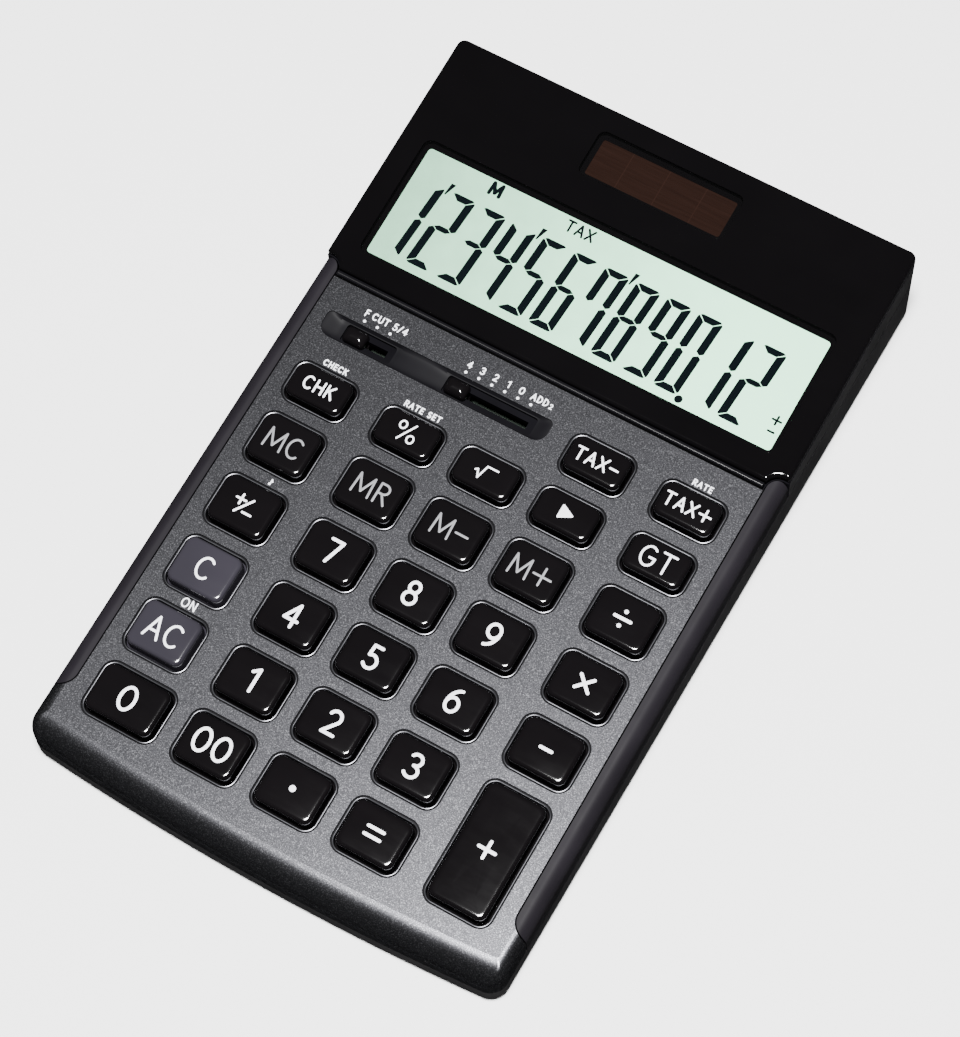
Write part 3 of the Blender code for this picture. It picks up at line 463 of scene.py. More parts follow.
def polished(name, color, roughness, smear, metallic=0.0):
    """A glossy surface with faint finger smears."""
    made, tree = start_finish(name, color, roughness, metallic)
    color_by(tree, grain(tree, 45.0, 2.0), ((0.3, shade(color, 0.9)), (0.7, shade(color, 1.15))))
    roughness_by(tree, grain(tree, 90.0, 4.0, (1, 2.5, 1)), roughness, roughness + smear)
    return made


def clear_sheet(name):
    """The clear part of the window: what is behind it shows, under a faint gloss."""
    made, tree = start_finish(name, (0.004, 0.004, 0.004), 0.03, Alpha=0.06, IOR=4.5)
    roughness_by(tree, grain(tree, 90.0, 4.0), 0.02, 0.05)
    return made


def printed(name, color, roughness=0.38, shine=0.5):
    made, tree = start_finish(name, color, roughness, Specular_IOR_Level=shine)
    color_by(tree, grain(tree, 2600.0), ((0.3, shade(color, 0.93)), (0.7, color)))
    return made


def display_film(name):
    """Pale green display with a faint cloudiness, and painted light: darker at its left end and lighter
    towards its right end.
    """
    glass = display_sizes().glass
    made, tree = start_finish(name, glass, 0.5)
    place = new_node(tree, "ShaderNodeTexCoord")
    split = new_node(tree, "ShaderNodeSeparateXYZ")
    # Painted light: the colour runs from dark at the film's left end to light at its right end
    across = new_node(tree, "ShaderNodeMapRange", From_Min=-0.048, From_Max=0.048)
    clouds = grain(tree, 220.0, 4.0)
    clouds_and_painted_light = new_node(tree, "ShaderNodeMath", {"operation": "MULTIPLY_ADD"})
    cloud_share = 0.25
    painted_light_end = 1.15 / (1 + cloud_share)
    clouds_and_painted_light.inputs[1].default_value = cloud_share
    wire(tree, place.outputs["Object"], split, "Vector")
    wire(tree, split.outputs["X"], across, "Value")
    wire(tree, clouds, clouds_and_painted_light, 0)
    wire(tree, across.outputs["Result"], clouds_and_painted_light, 2)
    color_by(tree, clouds_and_painted_light.outputs["Value"], ((0.0, shade(glass, 0.50)), (painted_light_end, shade(glass, 1.42))))
    return made


def solar_film(name):
    """Brown cell with fine conducting lines."""
    cell = display_sizes().cell
    made, tree = start_finish(name, cell, 0.5, Specular_IOR_Level=0.0)
    lines = grain(tree, 500.0, 3.0, (0.2, 6, 1))
    color_by(tree, lines, ((0.3, shade(cell, 0.82)), (0.7, shade(cell, 1.18))))
    return made


def brushed_metal(name, color, roughness, stretch=(1, 20, 1)):
    made, tree = start_finish(name, color, roughness, 1.0)
    lines = grain(tree, 700.0, 4.0, stretch)
    color_by(tree, lines, ((0.3, shade(color, 0.85)), (0.7, shade(color, 1.08))))
    roughness_by(tree, lines, roughness - 0.06, roughness + 0.1)
    return made


def laminate(name):
    """Dark green board with tracks showing faintly through the lacquer."""
    made, tree = start_finish(name, (0.002, 0.012, 0.005), 0.5)
    place = new_node(tree, "ShaderNodeTexCoord")
    tracks = new_node(
        tree, "ShaderNodeTexBrick", Scale=260.0, Color1=(0.002, 0.014, 0.005, 1),
        Color2=(0.003, 0.010, 0.004, 1), Mortar=(0.006, 0.022, 0.009, 1),
    )
    wire(tree, place.outputs["Object"], tracks, "Vector")
    wire(tree, tracks.outputs["Color"], tree.nodes["Principled BSDF"], "Base Color")
    return made


def finish_maker(name):
    case = case_sizes()
    keys = key_sizes()
    makers = {
        "deck_paint": metallic_paint,
        # Painted highlight: the beads get a lighter copy of the panel paint, smooth and without flakes
        "bead_painted_highlight": lambda label: polished(label, shade(case.paint, 1.3), 0.27, 0.06, 0.95),
        "plum_plastic": lambda label: moulded(label, case.strip, 0.5, shine=0.07),
        "case_plastic": lambda label: moulded(label, case.shell, 0.5, 0.01 * MM, 2600.0, 0.03),
        "frame_plastic": lambda label: moulded(label, shade(case.shell, 1.1), 0.45, 0.004 * MM, shine=0.05),
        # Painted shade: the inner frame, seen through the slots, takes the dark recess colour
        "inner_painted_shade": lambda label: moulded(label, case.recess, 0.6, 0.004 * MM, shine=0.0),
        "window_plastic": lambda label: polished(label, case.window, 0.045, 0.035),
        "window_clear": clear_sheet,
        "window_mask": lambda label: moulded(label, case.window, 0.9, shine=0.0),
        # Painted shade: the panel made dark where it lies down in the openings and the switch recess
        "painted_recess_shade": lambda label: moulded(label, case.recess, 0.5, 0.004 * MM, shine=0.05),
        "bar_plastic": lambda label: polished(label, shade(case.shell, 0.4), 0.2, 0.06),
        "black_key": lambda label: polished(label, keys.black, 0.07, 0.035),
        "slate_key": lambda label: polished(label, keys.slate, 0.10, 0.04),
        "switch_knob": lambda label: polished(label, keys.black, 0.10, 0.03),
        "white_print": lambda label: printed(label, keys.white),
        "grey_print": lambda label: printed(label, keys.grey),
        "display_glass": display_film,
        "display_ink": lambda label: printed(label, display_sizes().ink, 0.9, 0.0),
        "solar_glass": solar_film,
        "solar_line": lambda label: printed(label, shade(display_sizes().cell, 1.5), 0.6, 0.0),
        "holder_plastic": lambda label: moulded(label, (0.55, 0.55, 0.52), 0.5),
        "ribbon_film": lambda label: brushed_metal(label, (0.42, 0.20, 0.05), 0.4, (30, 1, 1)),
        "board_laminate": laminate,
        "keypad_rubber": lambda label: moulded(label, (0.15, 0.15, 0.155), 0.75, 0.01 * MM, 1800.0),
        "foot_rubber": lambda label: moulded(label, (0.016, 0.016, 0.017), 0.78, 0.02 * MM, 1500.0),
        "sounder_brass": lambda label: brushed_metal(label, (0.62, 0.43, 0.15), 0.3),
        "cell_steel": lambda label: brushed_metal(label, (0.60, 0.60, 0.62), 0.24, (1, 1, 1)),
        "contact_steel": lambda label: brushed_metal(label, (0.52, 0.50, 0.45), 0.32),
        "screw_steel": lambda label: brushed_metal(label, (0.42, 0.42, 0.44), 0.3, (1, 1, 8)),
    }
    return makers[name]


def finish(name):
    label = name + "_finish"
    return bpy.data.materials.get(label) or finish_maker(name)(label)


# ---------------------------------------------------------------- the outer form of the case


def plan(side=0.0, front=0.0, rear_y=None, rear_corner=None):
    """The case from above, anticlockwise from the left end of the front, moved in by the insets.

    Each point comes with its share of the front edge's roll: 1 along the bowed front and 0 along the sides.
    """
    case = case_sizes()
    half = WIDTH / 2 - side
    radius = max(case.corner - max(side, front), 0.5 * MM)
    rear_radius = max((case.rear_corner if rear_corner is None else rear_corner) - side, 0.4 * MM)
    back_y = REAR_Y - side if rear_y is None else rear_y
    straight = half - radius
    points = []
    for step in range(BOW_STEPS + 1):
        x = straight * (2 * step / BOW_STEPS - 1)
        points.append((x, FRONT_Y + front + case.front_bow * (2 * x / WIDTH) ** 2, 1.0))
    corner_y = points[-1][1] + radius
    for step in range(1, CORNER_STEPS + 1):
        angle = math.radians(90 * step / CORNER_STEPS)
        x = straight + radius * math.sin(angle)
        points.append((x, corner_y - radius * math.cos(angle), 1 - step / CORNER_STEPS))
    rear_x = half - rear_radius
    for x, y in arc(rear_x, back_y - rear_radius, rear_radius, 0, 90, CORNER_STEPS):
        points.append((x, y, 0.0))
    for x, y in arc(-rear_x, back_y - rear_radius, rear_radius, 90, 180, CORNER_STEPS):
        points.append((x, y, 0.0))
    for step in range(CORNER_STEPS):
        angle = math.radians(90 * (1 - step / CORNER_STEPS))
        x = -straight - radius * math.sin(angle)
        points.append((x, corner_y - radius * math.cos(angle), step / CORNER_STEPS))
    return points


def split_height(y):
    """Joint line between the lower case and everything above it."""
    return height_on(DECK, y) - SPLIT_DEPTH


def rolled_rings(inset, bottom, rear_y, steps):
    """Rings of the deck's outer form, from the joint line over the rolled edges to its flat top."""
    case = case_sizes()
    rings = []
    low = plan(inset, inset, rear_y, 0.0)
    rings.append([(x, y, split_height(y) + bottom) for x, y, share in low])
    side_roll = case.side_roll - inset
    front_roll = case.front_roll - inset
    for step in range(steps + 1):
        angle = math.radians(90 * step / steps)
        inward = 1 - math.cos(angle)
        drop = 1 - math.sin(angle)
        ring = []
        for x, y, share in plan(inset + side_roll * inward, inset + front_roll * inward, rear_y, 0.0):
            roll = side_roll + (front_roll - side_roll) * share
            ring.append((x, y, height_on(DECK, y) - inset - roll * drop))
        rings.append(ring)
    return rings


def add_rolled_shell(shape):
    """The key panel's form as a shell: flat top, rolled front and shoulders, open below."""
    rear = SEAM.y + BEYOND
    outer = rolled_rings(0.0, GAP, rear, ROLL_STEPS)
    inner = rolled_rings(PANEL, GAP, rear - PANEL, 4)
    eased = [(x, y, z - 0.12 * MM) for x, y, z in outer[0]]
    add_loft(shape, list(reversed(inner)) + [eased] + outer)


def strip_outline(side, grow):
    """The stretch of plan that one shoulder strip covers, widened inward and at its ends by grow."""
    inner = PANEL_HALF + GAP - grow
    outer = WIDTH / 2 + 2 * MM
    end_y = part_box("side_trim_left")[0].y - grow
    end_radius = WIDTH / 2 - inner
    nose_y = SEAM.y + TRIM_NOSE + grow
    outline = [(outer, end_y)]
    outline += arc(WIDTH / 2, end_y + end_radius, end_radius, 270, 180, 14)
    outline += arc(inner + NOSE_RADIUS, nose_y - NOSE_RADIUS, NOSE_RADIUS, 180, 90, 10)
    outline += [(outer, nose_y)]
    return [(side * x, y) for x, y in outline]


def add_prism(shape, outline, low, high, plane=None):
    add_loft(shape, stacked(((0, low), (0, high)), lambda inset: outline, plane))


# ---------------------------------------------------------------- key panel

# Heights over the deck that part the bead round a key from the deck and from its groove
BEAD_TOP = -0.015 * MM
BEAD_FOOT = -0.14 * MM
FRONT_BORDER = 9 * MM


def key_nodes():
    return sorted(name for name in frame["nodes"] if name.startswith("key_"))


def key_place(node):
    """Middle and half sizes of a key cap at its foot, in the deck frame."""
    low, high = extents(node, DECK)
    half_x = (high.x - low.x) / 2 - FLANGE_REACH
    half_y = (high.y - low.y) / 2 - FLANGE_REACH
    return (low.x + high.x) / 2, (low.y + high.y) / 2, half_x, half_y, high.z


def add_ring_cutter(shape, node):
    """What is cut away round one key: the opening, the rounded lip of its ring and the groove outside it."""
    case = case_sizes()
    x, v, half_x, half_y = key_place(node)[:4]
    width = case.ring_width
    groove = case.groove_depth
    profile = (
        (0.0, -3 * PANEL),
        (0.0, -0.80 * MM),
        (0.04 * width, -0.44 * MM),
        (0.12 * width, -0.20 * MM),
        (0.24 * width, -0.07 * MM),
        (0.40 * width, -0.03 * MM),
        (0.56 * width, -0.06 * MM),
        (0.68 * width, -0.18 * MM),
        (0.74 * width, -groove),
        (0.92 * width, -groove),
        (0.96 * width, -0.10 * MM),
        (1.06 * width, 0.0),
        (1.10 * width, 0.05 * MM),
        (1.20 * width, 1.0 * MM),
    )
    half_x += KEY_CLEARANCE
    half_y += KEY_CLEARANCE
    widened = (lambda out: rounded(half_x + out, half_y + out, KEY_CORNER + out, x, v))
    add_loft(shape, stacked(profile, widened, DECK))


def slot_spans():
    """Left end, right end and middle line of each knob's slot, in the deck frame."""
    spans = []
    for node in ("rounding_switch_knob", "decimal_switch_knob"):
        travel = next(j["range_m"][1] for j in frame["joints"] if j["child"] == node + "_body")
        low, high = extents(node, DECK)
        spans.append((low.x - GAP, high.x + travel + GAP, (low.y + high.y) / 2))
    return spans


def add_recess_cutter(shape):
    """A long trough with round ends, deep along the slots and higher between them."""
    spans = slot_spans()
    middle_v = spans[0][2]
    half = 2.75 * MM
    upper_round, lower_round = 1.2 * MM, 2.7 * MM
    left, right = -47.4 * MM, 6.3 * MM
    wall, deep, ramp, bridge_rise = 0.3 * MM, 1.15 * MM, 4.2 * MM, 0.42 * MM
    rim = ((0.3 * MM, 1.0 * MM), (0.07 * MM, 0.0), (0.0, -0.08 * MM))
    bridge_low, bridge_high = spans[0][1], spans[1][0]

    def side(reach, radius):
        """Half width on one side, at reach from the nearer end."""
        inside = min(reach, radius)
        return half - radius + math.sqrt(radius * radius - (radius - inside) ** 2)

    rings = []
    for step in range(RECESS_STATIONS + 1):
        x = (left + right) / 2 - (right - left) / 2 * math.cos(math.pi * step / RECESS_STATIONS)
        reach = min(max(min(x - left, right - x), 0.03 * MM), half)
        upper, lower = side(reach, upper_round), side(reach, lower_round)
        depth = wall + (deep - wall) * smooth(min(1.0, min(x - left, right - x) / ramp))
        if bridge_low < x < bridge_high:
            share = (x - bridge_low) / (bridge_high - bridge_low)
            depth -= bridge_rise * math.sin(math.pi * share) ** 0.7
        ring = [(x, middle_v - lower - out, z) for out, z in rim]
        for part in range(13):
            share = part / 12
            fall = (1 - abs(2 * share - 1) ** 4) ** 0.5
            v = middle_v - lower + (lower + upper) * share
            ring.append((x, v, -wall - (depth - wall) * fall))
        ring += [(x, middle_v + upper + out, z) for out, z in reversed(rim)]
        rings.append([DECK @ Vector(point) for point in ring])
    add_loft(shape, rings)


def smooth(share):
    return share * share * (3 - 2 * share)


def paint_openings(panel):
    """Gives the beads round the keys a lighter, smooth copy of the paint as a painted highlight, and the
    faces further down a dark one as painted shade.
    """
    panel.data.materials.append(finish("painted_recess_shade"))
    panel.data.materials.append(finish("bead_painted_highlight"))
    into = DECK.inverted()
    for face in panel.data.polygons:
        middle = into @ face.center
        inside = abs(middle.x) < PANEL_HALF - 0.5 * MM and middle.y > FRONT_Y - SEAM.y + FRONT_BORDER
        # Painted shade on the faces down in the openings
        if inside and middle.z < BEAD_FOOT:
            face.material_index = 1
        # Painted highlight on the beads round the keys
        elif inside and middle.z < BEAD_TOP:
            face.material_index = 2


class CALCULATOR_OT_key_panel(bpy.types.Operator):
    """Build the painted key panel with its key rings and the switch recess"""

    bl_idname = "calculator.key_panel"
    bl_label = "Key Panel"

    def execute(self, context):
        shape = bmesh.new()
        add_rolled_shell(shape)
        panel = new_piece("key_panel", shape, finish("deck_paint"))
        cutter = bmesh.new()
        for side in (-1, 1):
            add_prism(cutter, strip_outline(side, GAP), 0.0, SEAM.z + BEYOND)
        carve(panel, cutter)
        cutter = bmesh.new()
        behind = rounded(WIDTH, BEYOND, MM, 0.0, SEAM.y - GAP / 2 + BEYOND, 2)
        add_prism(cutter, behind, -BEYOND, SEAM.z + BEYOND)
        carve(panel, cutter)
        cutter = bmesh.new()
        add_recess_cutter(cutter)
        carve(panel, cutter)
        for left, right, v in slot_spans():
            cutter = bmesh.new()
            outline = rounded((right - left) / 2, SLOT_HALF, 0.7 * MM, (left + right) / 2, v, 6)
            add_prism(cutter, outline, -3 * PANEL, PANEL, DECK)
            carve(panel, cutter)
        cutter = bmesh.new()
        for node in key_nodes():
            add_ring_cutter(cutter, node)
        carve(panel, cutter)
        paint_openings(panel)
        fit_out(panel, CASE, ("face_plate",), 32.0)
        into = DECK.inverted()
        for face in panel.data.polygons:
            face.use_smooth = abs((into @ face.center).z) >= 0.1 * SKIN
        return {"FINISHED"}


class CALCULATOR_OT_shoulder_strips(bpy.types.Operator):
    """Build the two dark shoulder strips beside the key panel"""

    bl_idname = "calculator.shoulder_strips"
    bl_label = "Shoulder Strips"

    def execute(self, context):
        for side, label in ((-1, "left"), (1, "right")):
            shape = bmesh.new()
            add_rolled_shell(shape)
            strip = new_piece("shoulder_strip_" + label, shape, finish("plum_plastic"))
            cutter = bmesh.new()
            add_prism(cutter, strip_outline(side, 0.0), 0.0, SEAM.z + BEYOND)
            carve(strip, cutter, "INTERSECT")
            eased = strip.modifiers.new("Eased edges", "BEVEL")
            eased.width = 0.16 * MM
            eased.segments = 2
            eased.limit_method = "ANGLE"
            eased.angle_limit = math.radians(50)
            settle(strip)
            fit_out(strip, CASE, ("side_trim_" + label,), 60.0)
        return {"FINISHED"}


# ---------------------------------------------------------------- display head


def window_outline(inset):
    """The display window from above in the head frame, notched at the front for the strips' noses."""
    case = case_sizes()
    low, high = extents("display_window", HEAD)
    half = WIDTH / 2 - inset
    front = low.y + inset
    rear = high.y - inset
    nose_x = PANEL_HALF + GAP + NOSE_RADIUS
    nose_v = TRIM_NOSE - NOSE_RADIUS
    reach = NOSE_RADIUS + NOSE_GAP + inset
    radius = max(case.rear_corner - inset, 0.5 * MM)
    start = 180 - math.degrees(math.asin((front - nose_v) / reach))
    right = arc(nose_x, nose_v, reach, start, 90, 14)
    right += arc(half - 0.3 * MM, nose_v + reach + 0.3 * MM, 0.3 * MM, 270, 360, 4)
    right += arc(half - radius, rear - radius, radius, 0, 90, 14)
    return right + [(-x, y) for x, y in reversed(right)]


def opening_outline(opening, radius, grow=0.0, steps=6):
    half, front, rear = opening
    return rounded(half + grow, (rear - front) / 2 + grow, radius, 0.0, (front + rear) / 2, steps)


class CALCULATOR_OT_display_window(bpy.types.Operator):
    """Build the glossy black window over the display head, with its two clear fields"""

    bl_idname = "calculator.display_window"
    bl_label = "Display Window"

    def execute(self, context):
        case = case_sizes()
        low, high = extents("display_window", HEAD)
        edge = case.window_edge
        profile = [(0.12 * MM, low.z), (0.0, low.z + 0.12 * MM), (0.0, high.z - edge)]
        for step in range(1, 9):
            angle = math.radians(90 * step / 8)
            profile.append((edge * (1 - math.cos(angle)), high.z - edge * (1 - math.sin(angle))))
        shape = bmesh.new()
        add_loft(shape, stacked(profile, window_outline, HEAD))
        window = new_piece("window_cover", shape, finish("window_plastic"))
        cutter = bmesh.new()
        fields = (("display", DISPLAY_FIELD, DISPLAY_CORNER), ("solar", SOLAR_FIELD, SOLAR_CORNER))
        for label, opening, radius in fields:
            outline = opening_outline(opening, radius + MASK, MASK)
            add_prism(cutter, outline, low.z - MM, high.z + MM, HEAD)
        carve(window, cutter)
        self.mute_walls(window, low.y + 3 * MM, high.y - 3 * MM)
        fit_out(window, CASE, ("display_window",), 40.0)
        for label, opening, radius in fields:
            self.build_field(label, opening, radius, low.z, high.z)
        return {"FINISHED"}

    def mute_walls(self, window, front, rear):
        """Takes the gloss off the walls of the clear fields, which would mirror the display."""
        window.data.materials.append(finish("window_mask"))
        into = HEAD.inverted()
        turn = into.to_3x3()
        for face in window.data.polygons:
            middle = into @ face.center
            inward = abs(middle.x) < WIDTH / 2 - MM and front < middle.y < rear
            if inward and abs((turn @ face.normal).z) < 0.5:
                face.material_index = 1

    def build_field(self, label, opening, radius, bottom, top):
        """The clear pane of one field, and the dark print round its edge under the window."""
        levels = ((0.0, top - 0.35 * MM), (0.0, top - 2 * SKIN), (SKIN, top - SKIN))
        sheet = (lambda inset: opening_outline(opening, radius + MASK, MASK - SKIN - inset))
        shape = bmesh.new()
        add_loft(shape, stacked(levels, sheet, HEAD))
        fit_out(new_piece("clear_field_" + label, shape, finish("window_clear")), CASE)
        wide = MASK + MASK_CLEARANCE
        under = bottom - 0.08 * MM
        levels = ((wide, under), (wide, bottom), (0.0, bottom), (0.0, under))
        border = (lambda grow: opening_outline(opening, radius + grow, grow))
        shape = bmesh.new()
        add_tube(shape, stacked(levels, border, HEAD))
        fit_out(new_piece("field_mask_" + label, shape, finish("window_mask")), CASE)


def film_height():
    """Height of the display film's face in the head frame: just under the window."""
    return extents("display_window", HEAD)[0].z - 0.1 * MM


# Segments of each figure: a on top, then clockwise to f, and g across the middle
SEGMENTS = {
    "0": "abcdef", "1": "bc", "2": "abged", "3": "abgcd", "4": "fgbc",
    "5": "afgcd", "6": "afgedc", "7": "fabc", "8": "abcdefg", "9": "abcdfg",
}


FIGURES = "123456789012"
TICK_AFTER = (0, 3, 6)
POINT_AFTER = 9


def segment_outlines():
    """The seven segments of a digit, from its lower left corner."""
    display = display_sizes()
    width, height, thick = display.digit_width, display.digit_height, display.segment
    flat = 0.86 * thick
    slit = 0.1 * MM
    middle = 0.53 * height
    level_bar = 0.40 * flat
    nick = 0.42 * thick
    top = [(0.35 * nick + slit, height - 0.35 * nick), (nick + slit, height), (width - nick - slit, height)]
    top += [(width - 0.35 * nick - slit, height - 0.35 * nick), (width - thick - slit, height - flat)]
    top += [(thick + slit, height - flat)]
    bar = [(0.45 * thick + slit, middle), (thick + slit, middle + level_bar)]
    bar += [(width - thick - slit, middle + level_bar), (width - 0.45 * thick - slit, middle)]
    bar += [(width - thick - slit, middle - level_bar), (thick + slit, middle - level_bar)]

    def side_bar(tall):
        """The upright segment on the left of a half digit that is tall high, from its joint upward."""
        points = [(0, tall - nick), (0.35 * nick, tall - 0.5 * nick - slit), (thick, tall - flat - slit)]
        points += [(thick, level_bar + slit)]
        return points + [(0.45 * thick, slit), (0, 0.35 * flat + slit)]

    upper_left = [(x, middle + y) for x, y in side_bar(height - middle)]
    lower_left = [(x, middle - y) for x, y in reversed(side_bar(middle))]

    def across(outline):
        return [(width - x, y) for x, y in reversed(outline)]

    bottom = [(x, height - y) for x, y in reversed(top)]
    return {
        "a": top, "g": bar, "d": bottom, "f": upper_left, "b": across(upper_left),
        "e": lower_left, "c": across(lower_left),
    }


def add_digits(shape):
    """Twelve digits with their marks: a tick after every third figure and a decimal point."""
    display = display_sizes()
    base_v = 9.9 * MM
    last_right = 41.1 * MM
    level = film_height()
    outlines = segment_outlines()
    for number, figure in enumerate(FIGURES):
        left = last_right - display.digit_width - (len(FIGURES) - 1 - number) * display.digit_pitch
        lean = display.slant

        def placed(points):
            return [(left + x + lean * (y - display.digit_height), base_v + y) for x, y in points]

        for part in SEGMENTS[figure]:
            add_prism(shape, placed(outlines[part]), level, level + 0.5 * SKIN, HEAD)
        right = display.digit_width
        if number in TICK_AFTER:
            tall = display.digit_height
            tick = [(right + 0.3 * MM, tall - 1.4 * MM), (right + 0.62 * MM, tall - 1.4 * MM)]
            tick += [(right + 1.5 * MM, tall + 1.5 * MM), (right + 0.4 * MM, tall + 1.5 * MM)]
            add_prism(shape, placed(tick), level, level + 0.5 * SKIN, HEAD)
        if number == POINT_AFTER:
            point = circle(0.88 * MM, right + 0.77 * MM, -0.5 * MM, 24)
            add_prism(shape, placed(point), level, level + 0.5 * SKIN, HEAD)


class CALCULATOR_OT_display_face(bpy.types.Operator):
    """Build the display film with its digits and the solar cell under the window"""

    bl_idname = "calculator.display_face"
    bl_label = "Display and Solar Cell"

    def execute(self, context):
        level = film_height()
        thick = 0.15 * MM
        shape = bmesh.new()
        levels = ((0.0, level - thick), (0.0, level - SKIN), (SKIN, level))
        film = (lambda inset: opening_outline(DISPLAY_FIELD, 0.6 * MM, 0.8 * MM - inset, 4))
        add_loft(shape, stacked(levels, film, HEAD))
        fit_out(new_piece("display_film", shape, finish("display_glass")), CASE)
        shape = bmesh.new()
        add_digits(shape)
        fit_out(new_piece("display_digits", shape, finish("display_ink")), CASE)
        shape = bmesh.new()
        notes = (("M", -31.6, 31.7, 2.6, 0.82), ("TAX", -13.3, 31.7, 2.4, 0.48),
                 ("+", 44.9, 13.6, 2.1, 0.48), ("-", 45.2, 10.9, 2.1, 0.48))
        for text, x, v, height, stroke in notes:
            spot = (x * MM, v * MM)
            add_text(shape, text, spot, height * MM, stroke * MM, flat_place(HEAD, level), 0.4 * SKIN)
        fit_out(new_piece("display_signs", shape, finish("display_ink")), CASE)
        half, front, rear = SOLAR_FIELD
        reach = half + 0.6 * MM
        margin = 0.5 * MM
        shape = bmesh.new()
        low, high = (-reach, front - margin, level - thick), (reach, rear + margin, level)
        add_block(shape, HEAD, low, high, SKIN)
        fit_out(new_piece("solar_cells", shape, finish("solar_glass")), CASE)
        shape = bmesh.new()
        spacing = half / 1.83
        line_half, margin = 0.09 * MM, 0.3 * MM
        for x in (-spacing, 0.0, spacing):
            low = (x - line_half, front - margin, level - SKIN)
            high = (x + line_half, rear + margin, level + 0.5 * SKIN)
            add_block(shape, HEAD, low, high, 0.2 * SKIN)
        fit_out(new_piece("solar_lines", shape, finish("solar_line")), CASE)
        return {"FINISHED"}


class CALCULATOR_OT_case_bands(bpy.types.Operator):
    """Build the outer bands of the display head and the lower case, and the bar at the seam"""

    bl_idname = "calculator.case_bands"
    bl_label = "Case Bands"

    def execute(self, context):
        self.build_head_band()
        self.build_lower_band()
        self.build_seam_bar()
        return {"FINISHED"}

    def build_head_band(self):
        """A thin skin round the sides and the back of the head, between the joint line and the window."""
        start_y = SEAM.y + TRIM_NOSE + 0.6 * MM
        upper = extents("display_window", HEAD)[0].z - GAP

        def head_ring(inset, rise, from_top):
            points = [(x, y) for x, y, _ in plan(inset) if y > SEAM.y + BEYOND]
            outline = [(WIDTH / 2 - inset, start_y)] + points + [(inset - WIDTH / 2, start_y)]
            edge = (lambda y: height_on(HEAD, y, upper)) if from_top else (lambda y: split_height(y) + GAP)
            return [(x, y, edge(y) + rise) for x, y in outline]

        # Inset, rise, and whether the rise counts from the upper edge
        shape = bmesh.new()
        profile = (
            (0.5 * MM, 0.0, False), (0.12 * MM, 0.0, False), (-SKIN, 0.14 * MM, False),
            (-SKIN, -0.22 * MM, True), (0.06 * MM, -0.06 * MM, True), (0.22 * MM, SKIN, True),
            (0.5 * MM, SKIN, True),
        )
        rings = [head_ring(*line) for line in profile]
        skin_rings(shape, rings + rings[:1], around=False)
        bmesh.ops.remove_doubles(shape, verts=shape.verts, dist=0.1 * SKIN)
        bmesh.ops.holes_fill(shape, edges=[edge for edge in shape.edges if edge.is_boundary])
        fit_out(new_piece("head_band", shape, finish("frame_plastic")), CASE)

    def build_lower_band(self):
        """A thin skin round the lower case, from under its rounded foot to the joint line."""
        floor_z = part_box("lower_case")[0].z
        chamfer = 1.2 * MM
        profile = [(1.9 * MM, floor_z - 0.5 * SKIN, False)]
        for step in range(7):
            angle = math.radians(90 * step / 6)
            inset = chamfer * (1 - math.sin(angle)) - SKIN * math.sin(angle)
            profile.append((inset, floor_z - 0.5 * SKIN + chamfer * (1 - math.cos(angle)), False))
        profile += [(-SKIN, -0.25 * MM, True), (0.05 * MM, -0.08 * MM, True), (0.22 * MM, 0.0, True)]
        profile += [(0.6 * MM, 0.0, True)]
        shape = bmesh.new()
        rings = []
        for inset, z, from_split in profile:
            ring = []
            for x, y, share in plan(inset, inset):
                ring.append((x, y, split_height(y) + z if from_split else z))
            rings.append(ring)
        inner = [(x, y, floor_z + chamfer) for x, y, share in plan(1.9 * MM, 1.9 * MM)]
        add_tube(shape, rings + [inner])
        fit_out(new_piece("lower_band", shape, finish("case_plastic")), CASE, sharp=50)

    def build_seam_bar(self):
        """The thin round-topped bar between the key panel and the display window."""
        low = (GAP - PANEL_HALF, GAP / 2, -PANEL)
        high = (PANEL_HALF - GAP, GAP / 2 + SEAM_BAR_WIDTH, SEAM_BAR_RISE)
        section = [(low[1] - SKIN, low[2])]
        radius = (high[1] - low[1]) / 2 + SKIN
        section += arc((low[1] + high[1]) / 2, high[2] - radius, radius, 180, 0, 10)
        section += [(high[1] + SKIN, low[2])]
        rings = []
        for x in (low[0], low[0] + 0.2 * MM, high[0] - 0.2 * MM, high[0]):
            ease = 0.12 * MM if x in (low[0], high[0]) else -SKIN
            rings.append([DECK @ Vector((x, v, z - (ease if z > 0 else 0))) for v, z in section])
        shape = bmesh.new()
        add_loft(shape, rings)
        fit_out(new_piece("seam_bar", shape, finish("bar_plastic")), CASE, sharp=50)


# ---------------------------------------------------------------- strokes and signs

# Section of a printed stroke: across in halves of its width, and up in shares of its thickness
RIDGE = ((-1.0, 0.0), (-0.72, 0.8), (0.0, 1.0), (0.72, 0.8), (1.0, 0.0), (1.0, -1.0), (-1.0, -1.0))
# Where the round end of a stroke is divided, in degrees
CAP_ANGLES = (25.0, 50.0, 72.0, 86.0)


def line(*points):
    """Straight strokes from point to point, each with round ends."""
    return [([start, end], False, 1.0) for start, end in zip(points, points[1:])]


def bow(x, y, radius_x, radius_y, start, end, then=(), steps=18):
    """A curved stroke on an ellipse between two angles in degrees, carried on to the points in then."""
    angles = [math.radians(start + (end - start) * step / steps) for step in range(steps + 1)]
    points = [(x + radius_x * math.cos(a), y + radius_y * math.sin(a)) for a in angles]
    return [(points + list(then), False, 1.0)]


def loop(x, y, radius_x, radius_y, steps=28):
    return [(bow(x, y, radius_x, radius_y, 0, 360, steps=steps)[0][0][:-1], True, 1.0)]


def dot(x, y, weight):
    return [([(x - 0.002, y), (x + 0.002, y)], False, weight)]


def triangle(scale):
    corners = [(-0.36, 0.42), (0.44, 0.0), (-0.36, -0.42)]
    return line(*[(0.44 + scale * x, 0.5 + scale * y) for x, y in corners + corners[:1]])


